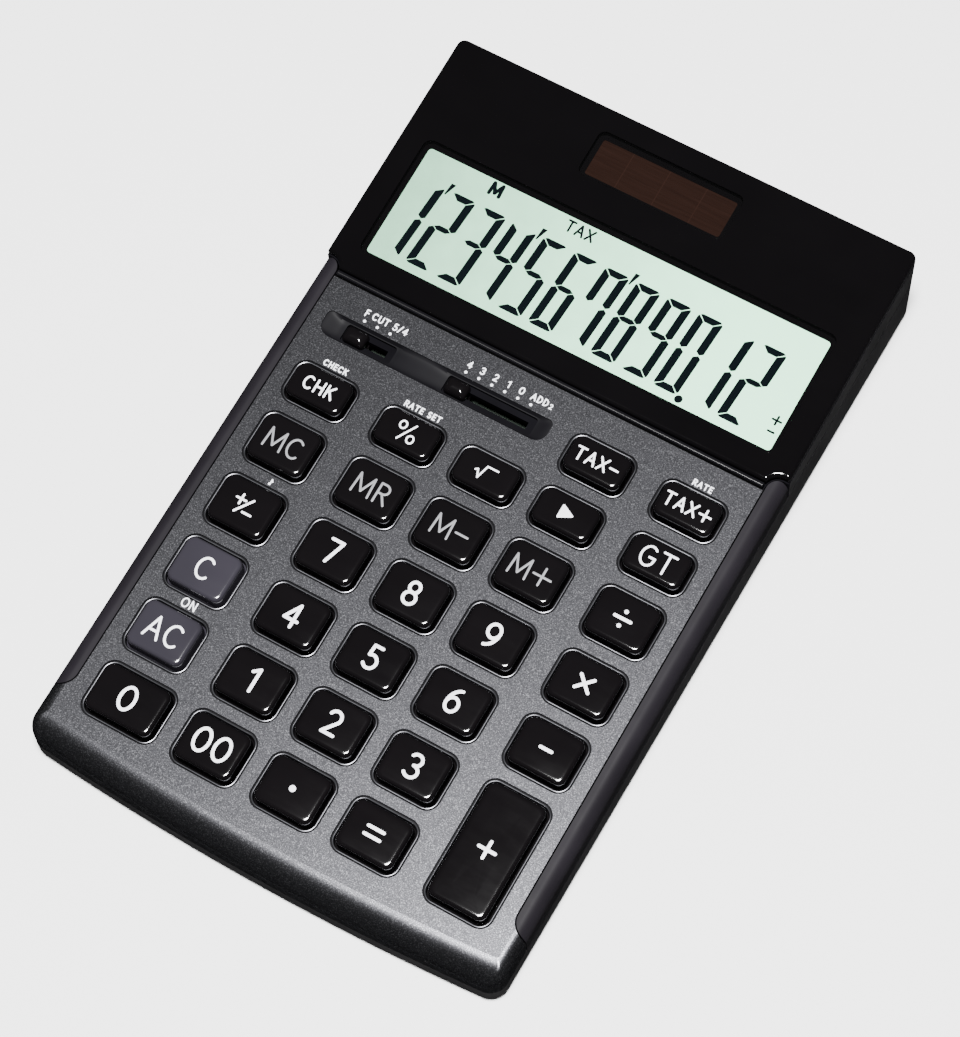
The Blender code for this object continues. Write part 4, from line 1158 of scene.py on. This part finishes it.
def sign_strokes():
    """Width and strokes of every sign, on a height of 1.

    v stands for the root sign, > for the arrow, : for the division sign, ~ for plus over minus
    and ! for a note.
    """
    return {
        "0": (0.66, loop(0.33, 0.5, 0.32, 0.5, 36)),
        "1": (0.36, line((0.03, 0.80), (0.29, 1.0), (0.29, 0.0))),
        "2": (0.56, bow(0.27, 0.72, 0.26, 0.28, 158, -30, [(0.02, 0.0)]) + line((0.02, 0.0), (0.56, 0.0))),
        "3": (0.54, bow(0.24, 0.76, 0.25, 0.24, 150, -90) + bow(0.24, 0.26, 0.29, 0.26, 90, -148)),
        "4": (0.62, line((0.45, 0.0), (0.45, 1.0), (0.02, 0.30), (0.62, 0.30))),
        "5": (0.54, line((0.48, 1.0), (0.12, 1.0), (0.09, 0.56)) + bow(0.25, 0.30, 0.28, 0.30, 118, -146)),
        "6": (0.58, loop(0.30, 0.31, 0.27, 0.31) + bow(0.55, 0.33, 0.52, 0.67, 180, 100)),
        "7": (0.54, line((0.02, 1.0), (0.54, 1.0), (0.20, 0.0))),
        "8": (0.58, loop(0.29, 0.765, 0.22, 0.235) + loop(0.29, 0.27, 0.27, 0.27)),
        "9": (0.58, loop(0.28, 0.69, 0.27, 0.31) + bow(0.03, 0.67, 0.52, 0.67, 0, -80)),
        ".": (0.30, dot(0.15, 0.5, 2.0)),
        "=": (0.86, line((0.0, 0.72), (0.86, 0.72)) + line((0.0, 0.28), (0.86, 0.28))),
        "+": (0.90, line((0.0, 0.5), (0.90, 0.5)) + line((0.45, 0.95), (0.45, 0.05))),
        "-": (0.62, line((0.0, 0.5), (0.62, 0.5))),
        "x": (0.74, line((0.0, 0.13), (0.74, 0.87)) + line((0.0, 0.87), (0.74, 0.13))),
        ":": (0.88, line((0.0, 0.5), (0.88, 0.5)) + dot(0.44, 0.90, 1.3) + dot(0.44, 0.10, 1.3)),
        "/": (0.40, line((0.0, -0.04), (0.40, 1.04))),
        "%": (1.06, line((0.22, -0.02), (0.84, 1.02)) + loop(0.18, 0.79, 0.18, 0.21)
              + loop(0.88, 0.21, 0.18, 0.21)),
        "v": (1.15, line((0.0, 0.42), (0.12, 0.50), (0.30, 0.06), (0.52, 0.84), (1.15, 0.84))),
        ">": (0.88, triangle(1.0) + triangle(0.62) + triangle(0.25)),
        "~": (1.05, line((0.0, 0.72), (0.50, 0.72)) + line((0.25, 0.97), (0.25, 0.47))
              + line((0.22, 0.04), (0.84, 0.90)) + line((0.62, 0.16), (1.06, 0.16))),
        "A": (0.68, line((0.0, 0.0), (0.34, 1.0), (0.68, 0.0)) + line((0.13, 0.34), (0.55, 0.34))),
        "C": (0.66, bow(0.37, 0.5, 0.36, 0.5, 48, 312)),
        "D": (0.64, line((0.04, 0.0), (0.04, 1.0)) + bow(0.12, 0.5, 0.50, 0.5, 90, -90, [(0.04, 0.0)])
              + line((0.04, 1.0), (0.14, 1.0))),
        "E": (0.50, line((0.50, 1.0), (0.04, 1.0), (0.04, 0.0), (0.50, 0.0))
              + line((0.04, 0.52), (0.44, 0.52))),
        "F": (0.48, line((0.04, 0.0), (0.04, 1.0), (0.48, 1.0)) + line((0.04, 0.52), (0.42, 0.52))),
        "G": (0.74, bow(0.38, 0.5, 0.37, 0.5, 50, 325, [(0.72, 0.46)]) + line((0.72, 0.46), (0.44, 0.46))),
        "H": (0.64, line((0.04, 0.0), (0.04, 1.0)) + line((0.62, 0.0), (0.62, 1.0))
              + line((0.04, 0.5), (0.62, 0.5))),
        "K": (0.60, line((0.04, 0.0), (0.04, 1.0)) + line((0.56, 1.0), (0.06, 0.44))
              + line((0.22, 0.60), (0.60, 0.0))),
        "M": (0.94, line((0.02, 0.0), (0.08, 1.0), (0.47, 0.16), (0.86, 1.0), (0.92, 0.0))),
        "N": (0.66, line((0.04, 0.0), (0.04, 1.0), (0.62, 0.0), (0.62, 1.0))),
        "O": (0.78, loop(0.39, 0.5, 0.38, 0.5, 36)),
        "R": (0.60, line((0.04, 0.0), (0.04, 1.0)) + bow(0.28, 0.75, 0.27, 0.25, 90, -90, [(0.04, 0.5)])
              + line((0.04, 1.0), (0.28, 1.0)) + line((0.28, 0.5), (0.60, 0.0))),
        "S": (0.52, bow(0.27, 0.75, 0.23, 0.25, 40, 262) + bow(0.25, 0.25, 0.25, 0.25, 82, -140)),
        "T": (0.66, line((0.0, 1.0), (0.66, 1.0)) + line((0.33, 1.0), (0.33, 0.0))),
        "U": (0.64, line((0.04, 1.0), (0.04, 0.32)) + bow(0.33, 0.32, 0.29, 0.32, 180, 360)
              + line((0.62, 0.32), (0.62, 1.0))),
        "X": (0.64, line((0.0, 0.0), (0.64, 1.0)) + line((0.0, 1.0), (0.64, 0.0))),
        "!": (0.5, dot(0.12, 0.12, 1.9) + line((0.22, 0.12), (0.22, 1.0), (0.46, 0.62))),
        " ": (0.28, []),
    }


SIGNS = sign_strokes()


def subdivided(points, closed, longest):
    """The same path with no step longer than longest."""
    ends = points[1:] + points[:1] if closed else points[1:]
    made = []
    for (x0, y0), (x1, y1) in zip(points, ends):
        count = max(1, math.ceil(math.hypot(x1 - x0, y1 - y0) / longest))
        made += [(x0 + (x1 - x0) * n / count, y0 + (y1 - y0) * n / count) for n in range(count)]
    return made if closed else made + points[-1:]


def add_stroke(shape, points, closed, half, place, lift):
    """One printed stroke: a very low rounded ridge along the points, with round ends."""
    spots = [Vector(point) for point in subdivided(points, closed, 0.7 * MM)]
    count = len(spots)
    sections = []
    for here, spot in enumerate(spots):
        before = spots[here - 1] if here or closed else spot
        after = spots[(here + 1) % count] if here + 1 < count or closed else spot
        sections.append((spot, (after - before).normalized(), 1.0))
    if not closed:
        caps = [(math.sin(math.radians(a)), math.cos(math.radians(a))) for a in CAP_ANGLES]
        first, along = sections[0][:2]
        last, onward = sections[-1][:2]
        opening = [(first - along * half * reach, along, share) for reach, share in reversed(caps)]
        closing = [(last + onward * half * reach, onward, share) for reach, share in caps]
        sections = opening + sections + closing
    rings = []
    for spot, along, share in sections:
        side = Vector((-along.y, along.x)) * half * share
        ring = []
        for across, up in RIDGE:
            point = spot + side * across
            ring.append(place(point.x, point.y, up * lift * (0.5 + 0.5 * share)))
        rings.append(ring)
    if closed:
        skin_rings(shape, rings + rings[:1])
    else:
        add_loft(shape, rings)


def text_width(text, height, stroke):
    widths = [SIGNS[sign][0] * height for sign in text]
    return sum(widths) + (len(text) - 1) * (0.12 * height + stroke)


def add_text(shape, text, spot, height, stroke, place, lift):
    """A line of signs from its lower left corner."""
    x, y = spot
    for sign in text:
        width, strokes = SIGNS[sign]
        for points, closed, weight in strokes:
            placed = [(x + px * height, y + py * height) for px, py in points]
            add_stroke(shape, placed, closed, weight * stroke / 2, place, lift)
        x += width * height + 0.12 * height + stroke
    bmesh.ops.remove_doubles(shape, verts=shape.verts, dist=1e-8)


def flat_place(plane, level):
    return lambda x, y, up: plane @ Vector((x, y, level + up))


# ---------------------------------------------------------------- keys

# What the function keys show, and in which style. A figure key shows its own name.
LEGENDS = {
    "tax_minus": ("TAX-", "label"), "tax_plus": ("TAX+", "label"), "check": ("CHK", "label"),
    "percent": ("%", "fine"), "square_root": ("v", "root"), "shift_right": (">", "arrow"),
    "grand_total": ("GT", "word"), "memory_clear": ("MC", "memory"), "memory_recall": ("MR", "memory"),
    "memory_minus": ("M-", "memory"), "memory_plus": ("M+", "memory"), "divide": (":", "sign"),
    "sign_change": ("~", "word"), "multiply": ("x", "sign"), "clear_entry": ("C", "clear"),
    "minus": ("-", "sign"), "all_clear": ("AC", "clear"), "plus": ("+", "sign"),
    "double_zero": ("00", "figure"), "decimal_point": (".", "figure"), "equals": ("=", "sign"),
}


def legend_style(style):
    """Height, stroke and finish of a legend."""
    keys = key_sizes()
    styles = {
        "figure": (keys.figure, keys.figure_stroke, "white_print"),
        "clear": (0.94 * keys.figure, 0.8 * keys.figure_stroke, "white_print"),
        "sign": (0.82 * keys.figure, keys.figure_stroke, "white_print"),
        "word": (keys.word, keys.word_stroke, "white_print"),
        "fine": (0.94 * keys.word, 0.78 * keys.word_stroke, "white_print"),
        "root": (0.9 * keys.word, 0.78 * keys.word_stroke, "white_print"),
        "arrow": (0.74 * keys.word, keys.word_stroke, "white_print"),
        "memory": (keys.word, keys.word_stroke, "grey_print"),
        "label": (0.64 * keys.word, 0.92 * keys.word_stroke, "white_print"),
    }
    return styles[style]


def key_top(half_x, half_y, top):
    """Height of a key's crowned top over its middle, before its rim is rounded off."""
    keys = key_sizes()

    def height(x, y):
        return top - keys.crown_x * (x / half_x) ** 2 - keys.crown_y * (y / half_y) ** 2

    return height


def add_key(shape, half_x, half_y, top, plane):
    """Stem, flange and crowned cap of one key in one closed skin."""
    corner = KEY_CORNER - KEY_CLEARANCE
    crown = key_top(half_x, half_y, top)
    foot = (
        (2.0 * MM, -3.9 * MM), (2.0 * MM, -3.0 * MM), (-FLANGE_REACH, -3.0 * MM), (-FLANGE_REACH, -2.0 * MM),
        (0.0, -2.0 * MM), (0.02 * MM, -0.2 * MM), (0.16 * MM, top - 1.25 * MM),
    )

    def cap_outline(inset, radius):
        return rounded(half_x - inset, half_y - inset, radius, parts=SIDE_PARTS)

    rings = stacked(foot, lambda inset: cap_outline(inset, max(corner - inset, 0.8 * MM)), plane)
    rim = (
        (0.17, 0.84), (0.20, 0.62), (0.26, 0.44), (0.35, 0.29), (0.46, 0.18), (0.59, 0.10), (0.74, 0.045),
        (0.91, 0.015), (1.10, 0.0), (1.5, 0.0), (2.1, 0.0), (2.9, 0.0), (3.7, 0.0), (4.2, 0.0),
    )
    for inset, drop in rim:
        inset *= MM
        if inset > min(half_x, half_y) - 0.35 * MM:
            break
        outline = cap_outline(inset, max(corner - 0.75 * inset, 0.3 * MM))
        rings.append([plane @ Vector((x, y, crown(x, y) - drop * MM)) for x, y in outline])
    add_peaked(shape, rings, plane @ Vector((0, 0, crown(0, 0))))


class CALCULATOR_OT_keys(bpy.types.Operator):
    """Build every key with its legend, each riding on its own body"""

    bl_idname = "calculator.keys"
    bl_label = "Keys and Legends"

    def execute(self, context):
        for node in key_nodes():
            x, v, half_x, half_y, top = key_place(node)
            plane = DECK @ Matrix.Translation((x, v, 0))
            label = node.removeprefix("key_")
            slot = "slate_key" if label in ("clear_entry", "all_clear") else "black_key"
            shape = bmesh.new()
            add_key(shape, half_x, half_y, top, plane)
            fit_out(new_piece("keycap_" + label, shape, finish(slot)), node + "_body", (node,), 46)
            text, style = LEGENDS.get(label, (label, "figure"))
            height, stroke, ink = legend_style(style)
            crown = key_top(half_x, half_y, top)
            shape = bmesh.new()
            spot = (-text_width(text, height, stroke) / 2, -height / 2)
            place = (lambda px, py, up: plane @ Vector((px, py, crown(px, py) + up)))
            add_text(shape, text, spot, height, stroke, place, SKIN)
            fit_out(new_piece("legend_" + label, shape, finish(ink)), node + "_body", sharp=80)
        return {"FINISHED"}


class CALCULATOR_OT_panel_print(bpy.types.Operator):
    """Print the small white marks on the key panel"""

    bl_idname = "calculator.panel_print"
    bl_label = "Panel Print"

    def execute(self, context):
        shape = bmesh.new()
        place = flat_place(DECK, 0.0)
        small, stroke = 1.42 * MM, 0.30 * MM
        row_v = -4.95 * MM
        dot_half = 0.32 * MM

        def write(text, x, v, height=small, width=stroke, centered=True):
            left = x - text_width(text, height, width) / 2 if centered else x
            add_text(shape, text, (left, v), height, width, place, 0.6 * SKIN)

        pitch = 3.07 * MM
        rounding_x = sum(node_x("rounding_switch_knob")) / 2
        for number, (text, shift) in enumerate((("F", -0.35), ("CUT", -0.15), ("5/4", 1.45))):
            write(text, rounding_x + number * pitch + shift * MM, row_v)
            add_stroke(shape, *dot_at(rounding_x + number * pitch), dot_half, place, 0.6 * SKIN)
        decimal_x = sum(node_x("decimal_switch_knob")) / 2
        for number, text in enumerate("43210"):
            write(text, decimal_x + number * pitch, row_v)
        for number in range(6):
            add_stroke(shape, *dot_at(decimal_x + number * pitch), dot_half, place, 0.6 * SKIN)
        last = decimal_x + 5 * pitch
        write("ADD", last - 0.7 * MM, row_v, centered=False)
        write("2", last + 3.6 * MM, row_v - 0.1 * MM, 0.72 * small, 0.8 * stroke, False)
        for node, text, shift in (
            ("key_check", "CHECK", 0.0), ("key_percent", "RATE SET", 0.0), ("key_tax_plus", "RATE", 0.0),
            ("key_all_clear", "ON", 0.7 * MM), ("key_sign_change", "!", 1.5 * MM),
        ):
            x, v, _, half_y, _ = key_place(node)
            edge = v + half_y + KEY_CLEARANCE + case_sizes().ring_width
            write(text, x + shift, edge + 0.5 * MM, 1.85 * MM if text == "ON" else 1.2 * MM)
        fit_out(new_piece("panel_print", shape, finish("white_print")), CASE, sharp=80)
        return {"FINISHED"}


def node_x(node):
    low, high = extents(node, DECK)
    return low.x, high.x


def dot_at(x):
    return [(x - 0.01 * MM, -6.1 * MM), (x + 0.01 * MM, -6.1 * MM)], False


class CALCULATOR_OT_switch_knobs(bpy.types.Operator):
    """Build the two glossy switch knobs with their necks and sliders"""

    bl_idname = "calculator.switch_knobs"
    bl_label = "Switch Knobs"

    def execute(self, context):
        for node in ("rounding_switch_knob", "decimal_switch_knob"):
            low, high = extents(node, DECK)
            middle = DECK @ Matrix.Translation(((low.x + high.x) / 2, (low.y + high.y) / 2, 0))
            half_x = (high.x - low.x) / 2
            half_y = SLOT_HALF - GAP
            shape = bmesh.new()
            rings = []
            profile = (
                (0.1, -1.65), (0.0, -1.55), (0.0, -0.75), (0.07, -0.50), (0.2, -0.24), (0.40, 0.02),
                (0.66, 0.24), (0.96, 0.40), (1.28, 0.50), (1.55, 0.54),
            )
            for inset, z in profile:
                radius = max(0.15, 0.9 - 0.5 * inset) * MM
                outline = rounded(half_x - 1.15 * inset * MM, half_y - inset * MM, radius)
                rings.append([middle @ Vector((x, y, z * MM)) for x, y in outline])
            add_peaked(shape, rings, middle @ Vector((0, 0, 0.54 * MM)))
            add_block(shape, middle, (-0.9 * MM, -0.5 * MM, -3.9 * MM), (0.9 * MM, 0.5 * MM, -1.6 * MM))
            add_block(shape, middle, (-2.6 * MM, -1.6 * MM, -4.6 * MM), (2.6 * MM, 1.6 * MM, -3.75 * MM))
            knob = new_piece(node.replace("_knob", "_nub"), shape, finish("switch_knob"))
            fit_out(knob, node + "_body", (node,), 50)
        return {"FINISHED"}


# ---------------------------------------------------------------- under side


def add_turned(shape, profile, x, y, steps=48):
    """A turned solid from (radius, height) pairs, from its bottom middle to its top middle."""
    add_loft(shape, stacked(profile, lambda radius: circle(radius, x, y, steps)))


def rounded_profile(radius, low, high, ease, steps=5):
    """A disc's profile with both rims rounded."""
    turns = [math.radians(90 * step / steps) for step in range(steps + 1)]
    lower = [(radius - ease * (1 - math.sin(turn)), low + ease * (1 - math.cos(turn))) for turn in turns]
    upper = [(out, low + high - z) for out, z in reversed(lower)]
    return lower + upper


class CALCULATOR_OT_under_side(bpy.types.Operator):
    """Build the feet, the screws and the battery cover"""

    bl_idname = "calculator.under_side"
    bl_label = "Under Side"

    def execute(self, context):
        for node in sorted(frame["nodes"]):
            low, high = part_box(node)
            x, y = (low.x + high.x) / 2, (low.y + high.y) / 2
            if node.startswith("rubber_foot"):
                shape = bmesh.new()
                profile = rounded_profile((high.x - low.x) / 2 - 0.1 * MM, low.z, high.z, 0.4 * MM)
                add_turned(shape, profile, x, y)
                foot = new_piece(node.replace("rubber_foot", "foot_pad"), shape, finish("foot_rubber"))
                fit_out(foot, CASE, (node,))
            if "screw" in node:
                self.build_screw(node, x, y, low, high)
        self.build_cover()
        return {"FINISHED"}

    def build_screw(self, node, x, y, low, high):
        """A pan head with a cross recess over a threaded shank."""
        radius = (high.x - low.x) / 2
        head = 1.4 * MM if node.startswith("case") else 0.35 * MM
        shape = bmesh.new()
        profile = [(0.55 * radius, low.z), (0.8 * radius, low.z + 0.06 * MM)]
        profile += [(0.95 * radius, low.z + 0.2 * MM), (radius, low.z + head)]
        profile += [(0.55 * radius, low.z + head + 0.02 * MM)]
        turns = 14
        start, end = low.z + head + 0.1 * MM, high.z - 0.3 * MM
        for turn in range(turns + 1):
            z = start + (end - start) * turn / turns
            profile.append(((0.5 if turn % 2 else 0.41) * radius, z))
        profile.append((0.2 * radius, high.z))
        add_turned(shape, profile, x, y, 32)
        screw = new_piece(node.replace("screw", "fixing"), shape, finish("screw_steel"))
        cutter = bmesh.new()
        arm, web = 0.6 * radius, 0.13 * radius
        cross = [(web, web), (arm, web), (arm, -web), (web, -web), (web, -arm), (-web, -arm), (-web, -web),
                 (-arm, -web), (-arm, web), (-web, web), (-web, arm), (web, arm)]
        recess_top = low.z + min(0.7 * MM, 0.8 * head)
        add_prism(cutter, [(x + px, y + py) for px, py in cross], low.z - MM, recess_top)
        carve(screw, cutter)
        body = CASE if node.startswith("case") else "battery_cover_body"
        fit_out(screw, body, (node,), 30)

    def build_cover(self):
        """The battery cover: a thin plate with eased rims, grip ribs and a hole for its screw."""
        low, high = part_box("battery_cover")
        x, y = (low.x + high.x) / 2, (low.y + high.y) / 2
        half_x, half_y = (high.x - low.x) / 2, (high.y - low.y) / 2
        shape = bmesh.new()
        corner, ease = 1.8 * MM, 0.25 * MM
        part_way = 0.28 * ease
        levels = ((ease, low.z), (part_way, low.z + part_way), (0.0, low.z + ease), (0.0, high.z))
        lid = (lambda inset: rounded(half_x - inset, half_y - inset, corner - inset, x, y))
        add_loft(shape, stacked(levels, lid))
        cover = new_piece("battery_lid", shape, finish("case_plastic"))
        cutter = bmesh.new()
        screw_low, screw_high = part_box("battery_cover_screw")
        hole = circle(1.3 * MM, (screw_low.x + screw_high.x) / 2, (screw_low.y + screw_high.y) / 2)
        add_prism(cutter, hole, low.z - MM, high.z + MM)
        first_x, spacing = 5.5 * MM, 1.6 * MM
        groove_half, groove_reach, groove_depth = 0.35 * MM, 4.5 * MM, 0.3 * MM
        for number in range(5):
            groove_x = x + first_x + spacing * number
            groove = rounded(groove_half, groove_reach, 0.34 * MM, groove_x, y)
            add_prism(cutter, groove, low.z - MM, low.z + groove_depth)
        carve(cover, cutter)
        fit_out(cover, "battery_cover_body", ("battery_cover",), 35)


class CALCULATOR_OT_inner_finishes(bpy.types.Operator):
    """Give the case, its inner parts and the power parts their finishes"""

    bl_idname = "calculator.inner_finishes"
    bl_label = "Inner Finishes"

    def execute(self, context):
        finishes = {
            "lower_case": "case_plastic", "upper_case": "inner_painted_shade", "lcd_panel": "display_glass",
            "lcd_frame": "holder_plastic", "solar_panel": "solar_glass", "lcd_ribbon": "ribbon_film",
            "rubber_keypad": "keypad_rubber", "circuit_board": "board_laminate", "battery_cell": "cell_steel",
            "battery_contact_negative": "contact_steel", "battery_contact_positive": "contact_steel",
            "beeper_disc": "sounder_brass",
        }
        for node, name in finishes.items():
            thing = frame["nodes"][node]
            thing.data.materials.clear()
            thing.data.materials.append(finish(name))
        return {"FINISHED"}


# ---------------------------------------------------------------- stage


# Metres in the frame's own coordinates
FLOOR_REACH = 3.0
LAMP_PLACE = (0.10, -0.17, 1.30)
LAMP_TARGET = (0.0, 0.0, 0.015)
LAMP_SIZE = (0.26, 0.30)


def aim(thing, place, target):
    thing.location = place
    thing.rotation_euler = (Vector(target) - Vector(place)).to_track_quat("-Z", "Y").to_euler()


def add_light(name, place, target, size, power):
    lamp = bpy.data.lights.new(name, "AREA")
    lamp.shape = "RECTANGLE"
    lamp.size, lamp.size_y = size
    lamp.energy = power
    thing = bpy.data.objects.new(name, lamp)
    bpy.context.scene.collection.objects.link(thing)
    aim(thing, place, target)


class CALCULATOR_OT_stage(bpy.types.Operator):
    """Set up the floor, the soft lamp and the camera"""

    bl_idname = "calculator.stage"
    bl_label = "Stage"

    def execute(self, context):
        stage = stage_sizes()
        shape = bmesh.new()
        bmesh.ops.create_grid(shape, x_segments=8, y_segments=8, size=FLOOR_REACH)
        made, tree = start_finish("floor_finish", stage.floor, 0.7)
        color_by(tree, grain(tree, 6.0, 3.0), ((0.3, shade(stage.floor, 0.985)), (0.7, stage.floor)))
        floor = new_piece("floor", shape, made)
        # The sides and the rolled front edge mirror a dark room and not the pale floor
        floor.visible_glossy = False
        add_light("ceiling_lamp", LAMP_PLACE, LAMP_TARGET, LAMP_SIZE, stage.lamp)
        world = bpy.data.worlds.new("room")
        bpy.context.scene.world = world
        world.use_nodes = True
        room = world.node_tree.nodes["Background"]
        room.inputs["Color"].default_value = (0.95, 0.97, 1.0, 1.0)
        room.inputs["Strength"].default_value = stage.sky
        lens = bpy.data.cameras.new("camera")
        lens.sensor_fit = "HORIZONTAL"
        lens.sensor_width = 36.0
        lens.lens = stage.lens
        lens.clip_end = 20.0
        camera = bpy.data.objects.new("camera", lens)
        camera.location = stage.eye
        camera.rotation_euler = stage.turn
        bpy.context.scene.collection.objects.link(camera)
        bpy.context.scene.camera = camera
        return {"FINISHED"}


class CALCULATOR_PT_sidebar(bpy.types.Panel):
    """Sizes, colours and building steps of the calculator"""

    bl_idname = "CALCULATOR_PT_sidebar"
    bl_label = "Desk Calculator"
    bl_space_type = "VIEW_3D"
    bl_region_type = "UI"
    bl_category = "Calculator"

    def draw(self, context):
        for group in (case_sizes(), key_sizes(), display_sizes(), stage_sizes()):
            box = self.layout.box()
            for name in group.__annotations__:
                box.prop(group, name)
        for operator in OPERATORS:
            self.layout.operator(operator.bl_idname)


GROUPS = {
    "calculator_case": CalculatorCase,
    "calculator_keys": CalculatorKeys,
    "calculator_display": CalculatorDisplay,
    "calculator_stage": CalculatorStage,
}
OPERATORS = (
    CALCULATOR_OT_key_panel,
    CALCULATOR_OT_shoulder_strips,
    CALCULATOR_OT_display_window,
    CALCULATOR_OT_display_face,
    CALCULATOR_OT_case_bands,
    CALCULATOR_OT_keys,
    CALCULATOR_OT_panel_print,
    CALCULATOR_OT_switch_knobs,
    CALCULATOR_OT_under_side,
    CALCULATOR_OT_inner_finishes,
    CALCULATOR_OT_stage,
)


def register():
    for name, group in GROUPS.items():
        bpy.utils.register_class(group)
        setattr(bpy.types.Scene, name, PointerProperty(type=group))
    for operator in OPERATORS:
        bpy.utils.register_class(operator)
    bpy.utils.register_class(CALCULATOR_PT_sidebar)


def unregister():
    bpy.utils.unregister_class(CALCULATOR_PT_sidebar)
    for operator in reversed(OPERATORS):
        bpy.utils.unregister_class(operator)
    for name, group in GROUPS.items():
        delattr(bpy.types.Scene, name)
        bpy.utils.unregister_class(group)


def main():
    register()
    for operator in OPERATORS:
        family, step = operator.bl_idname.split(".")
        getattr(getattr(bpy.ops, family), step)()


if __name__ == "__main__":
    main()
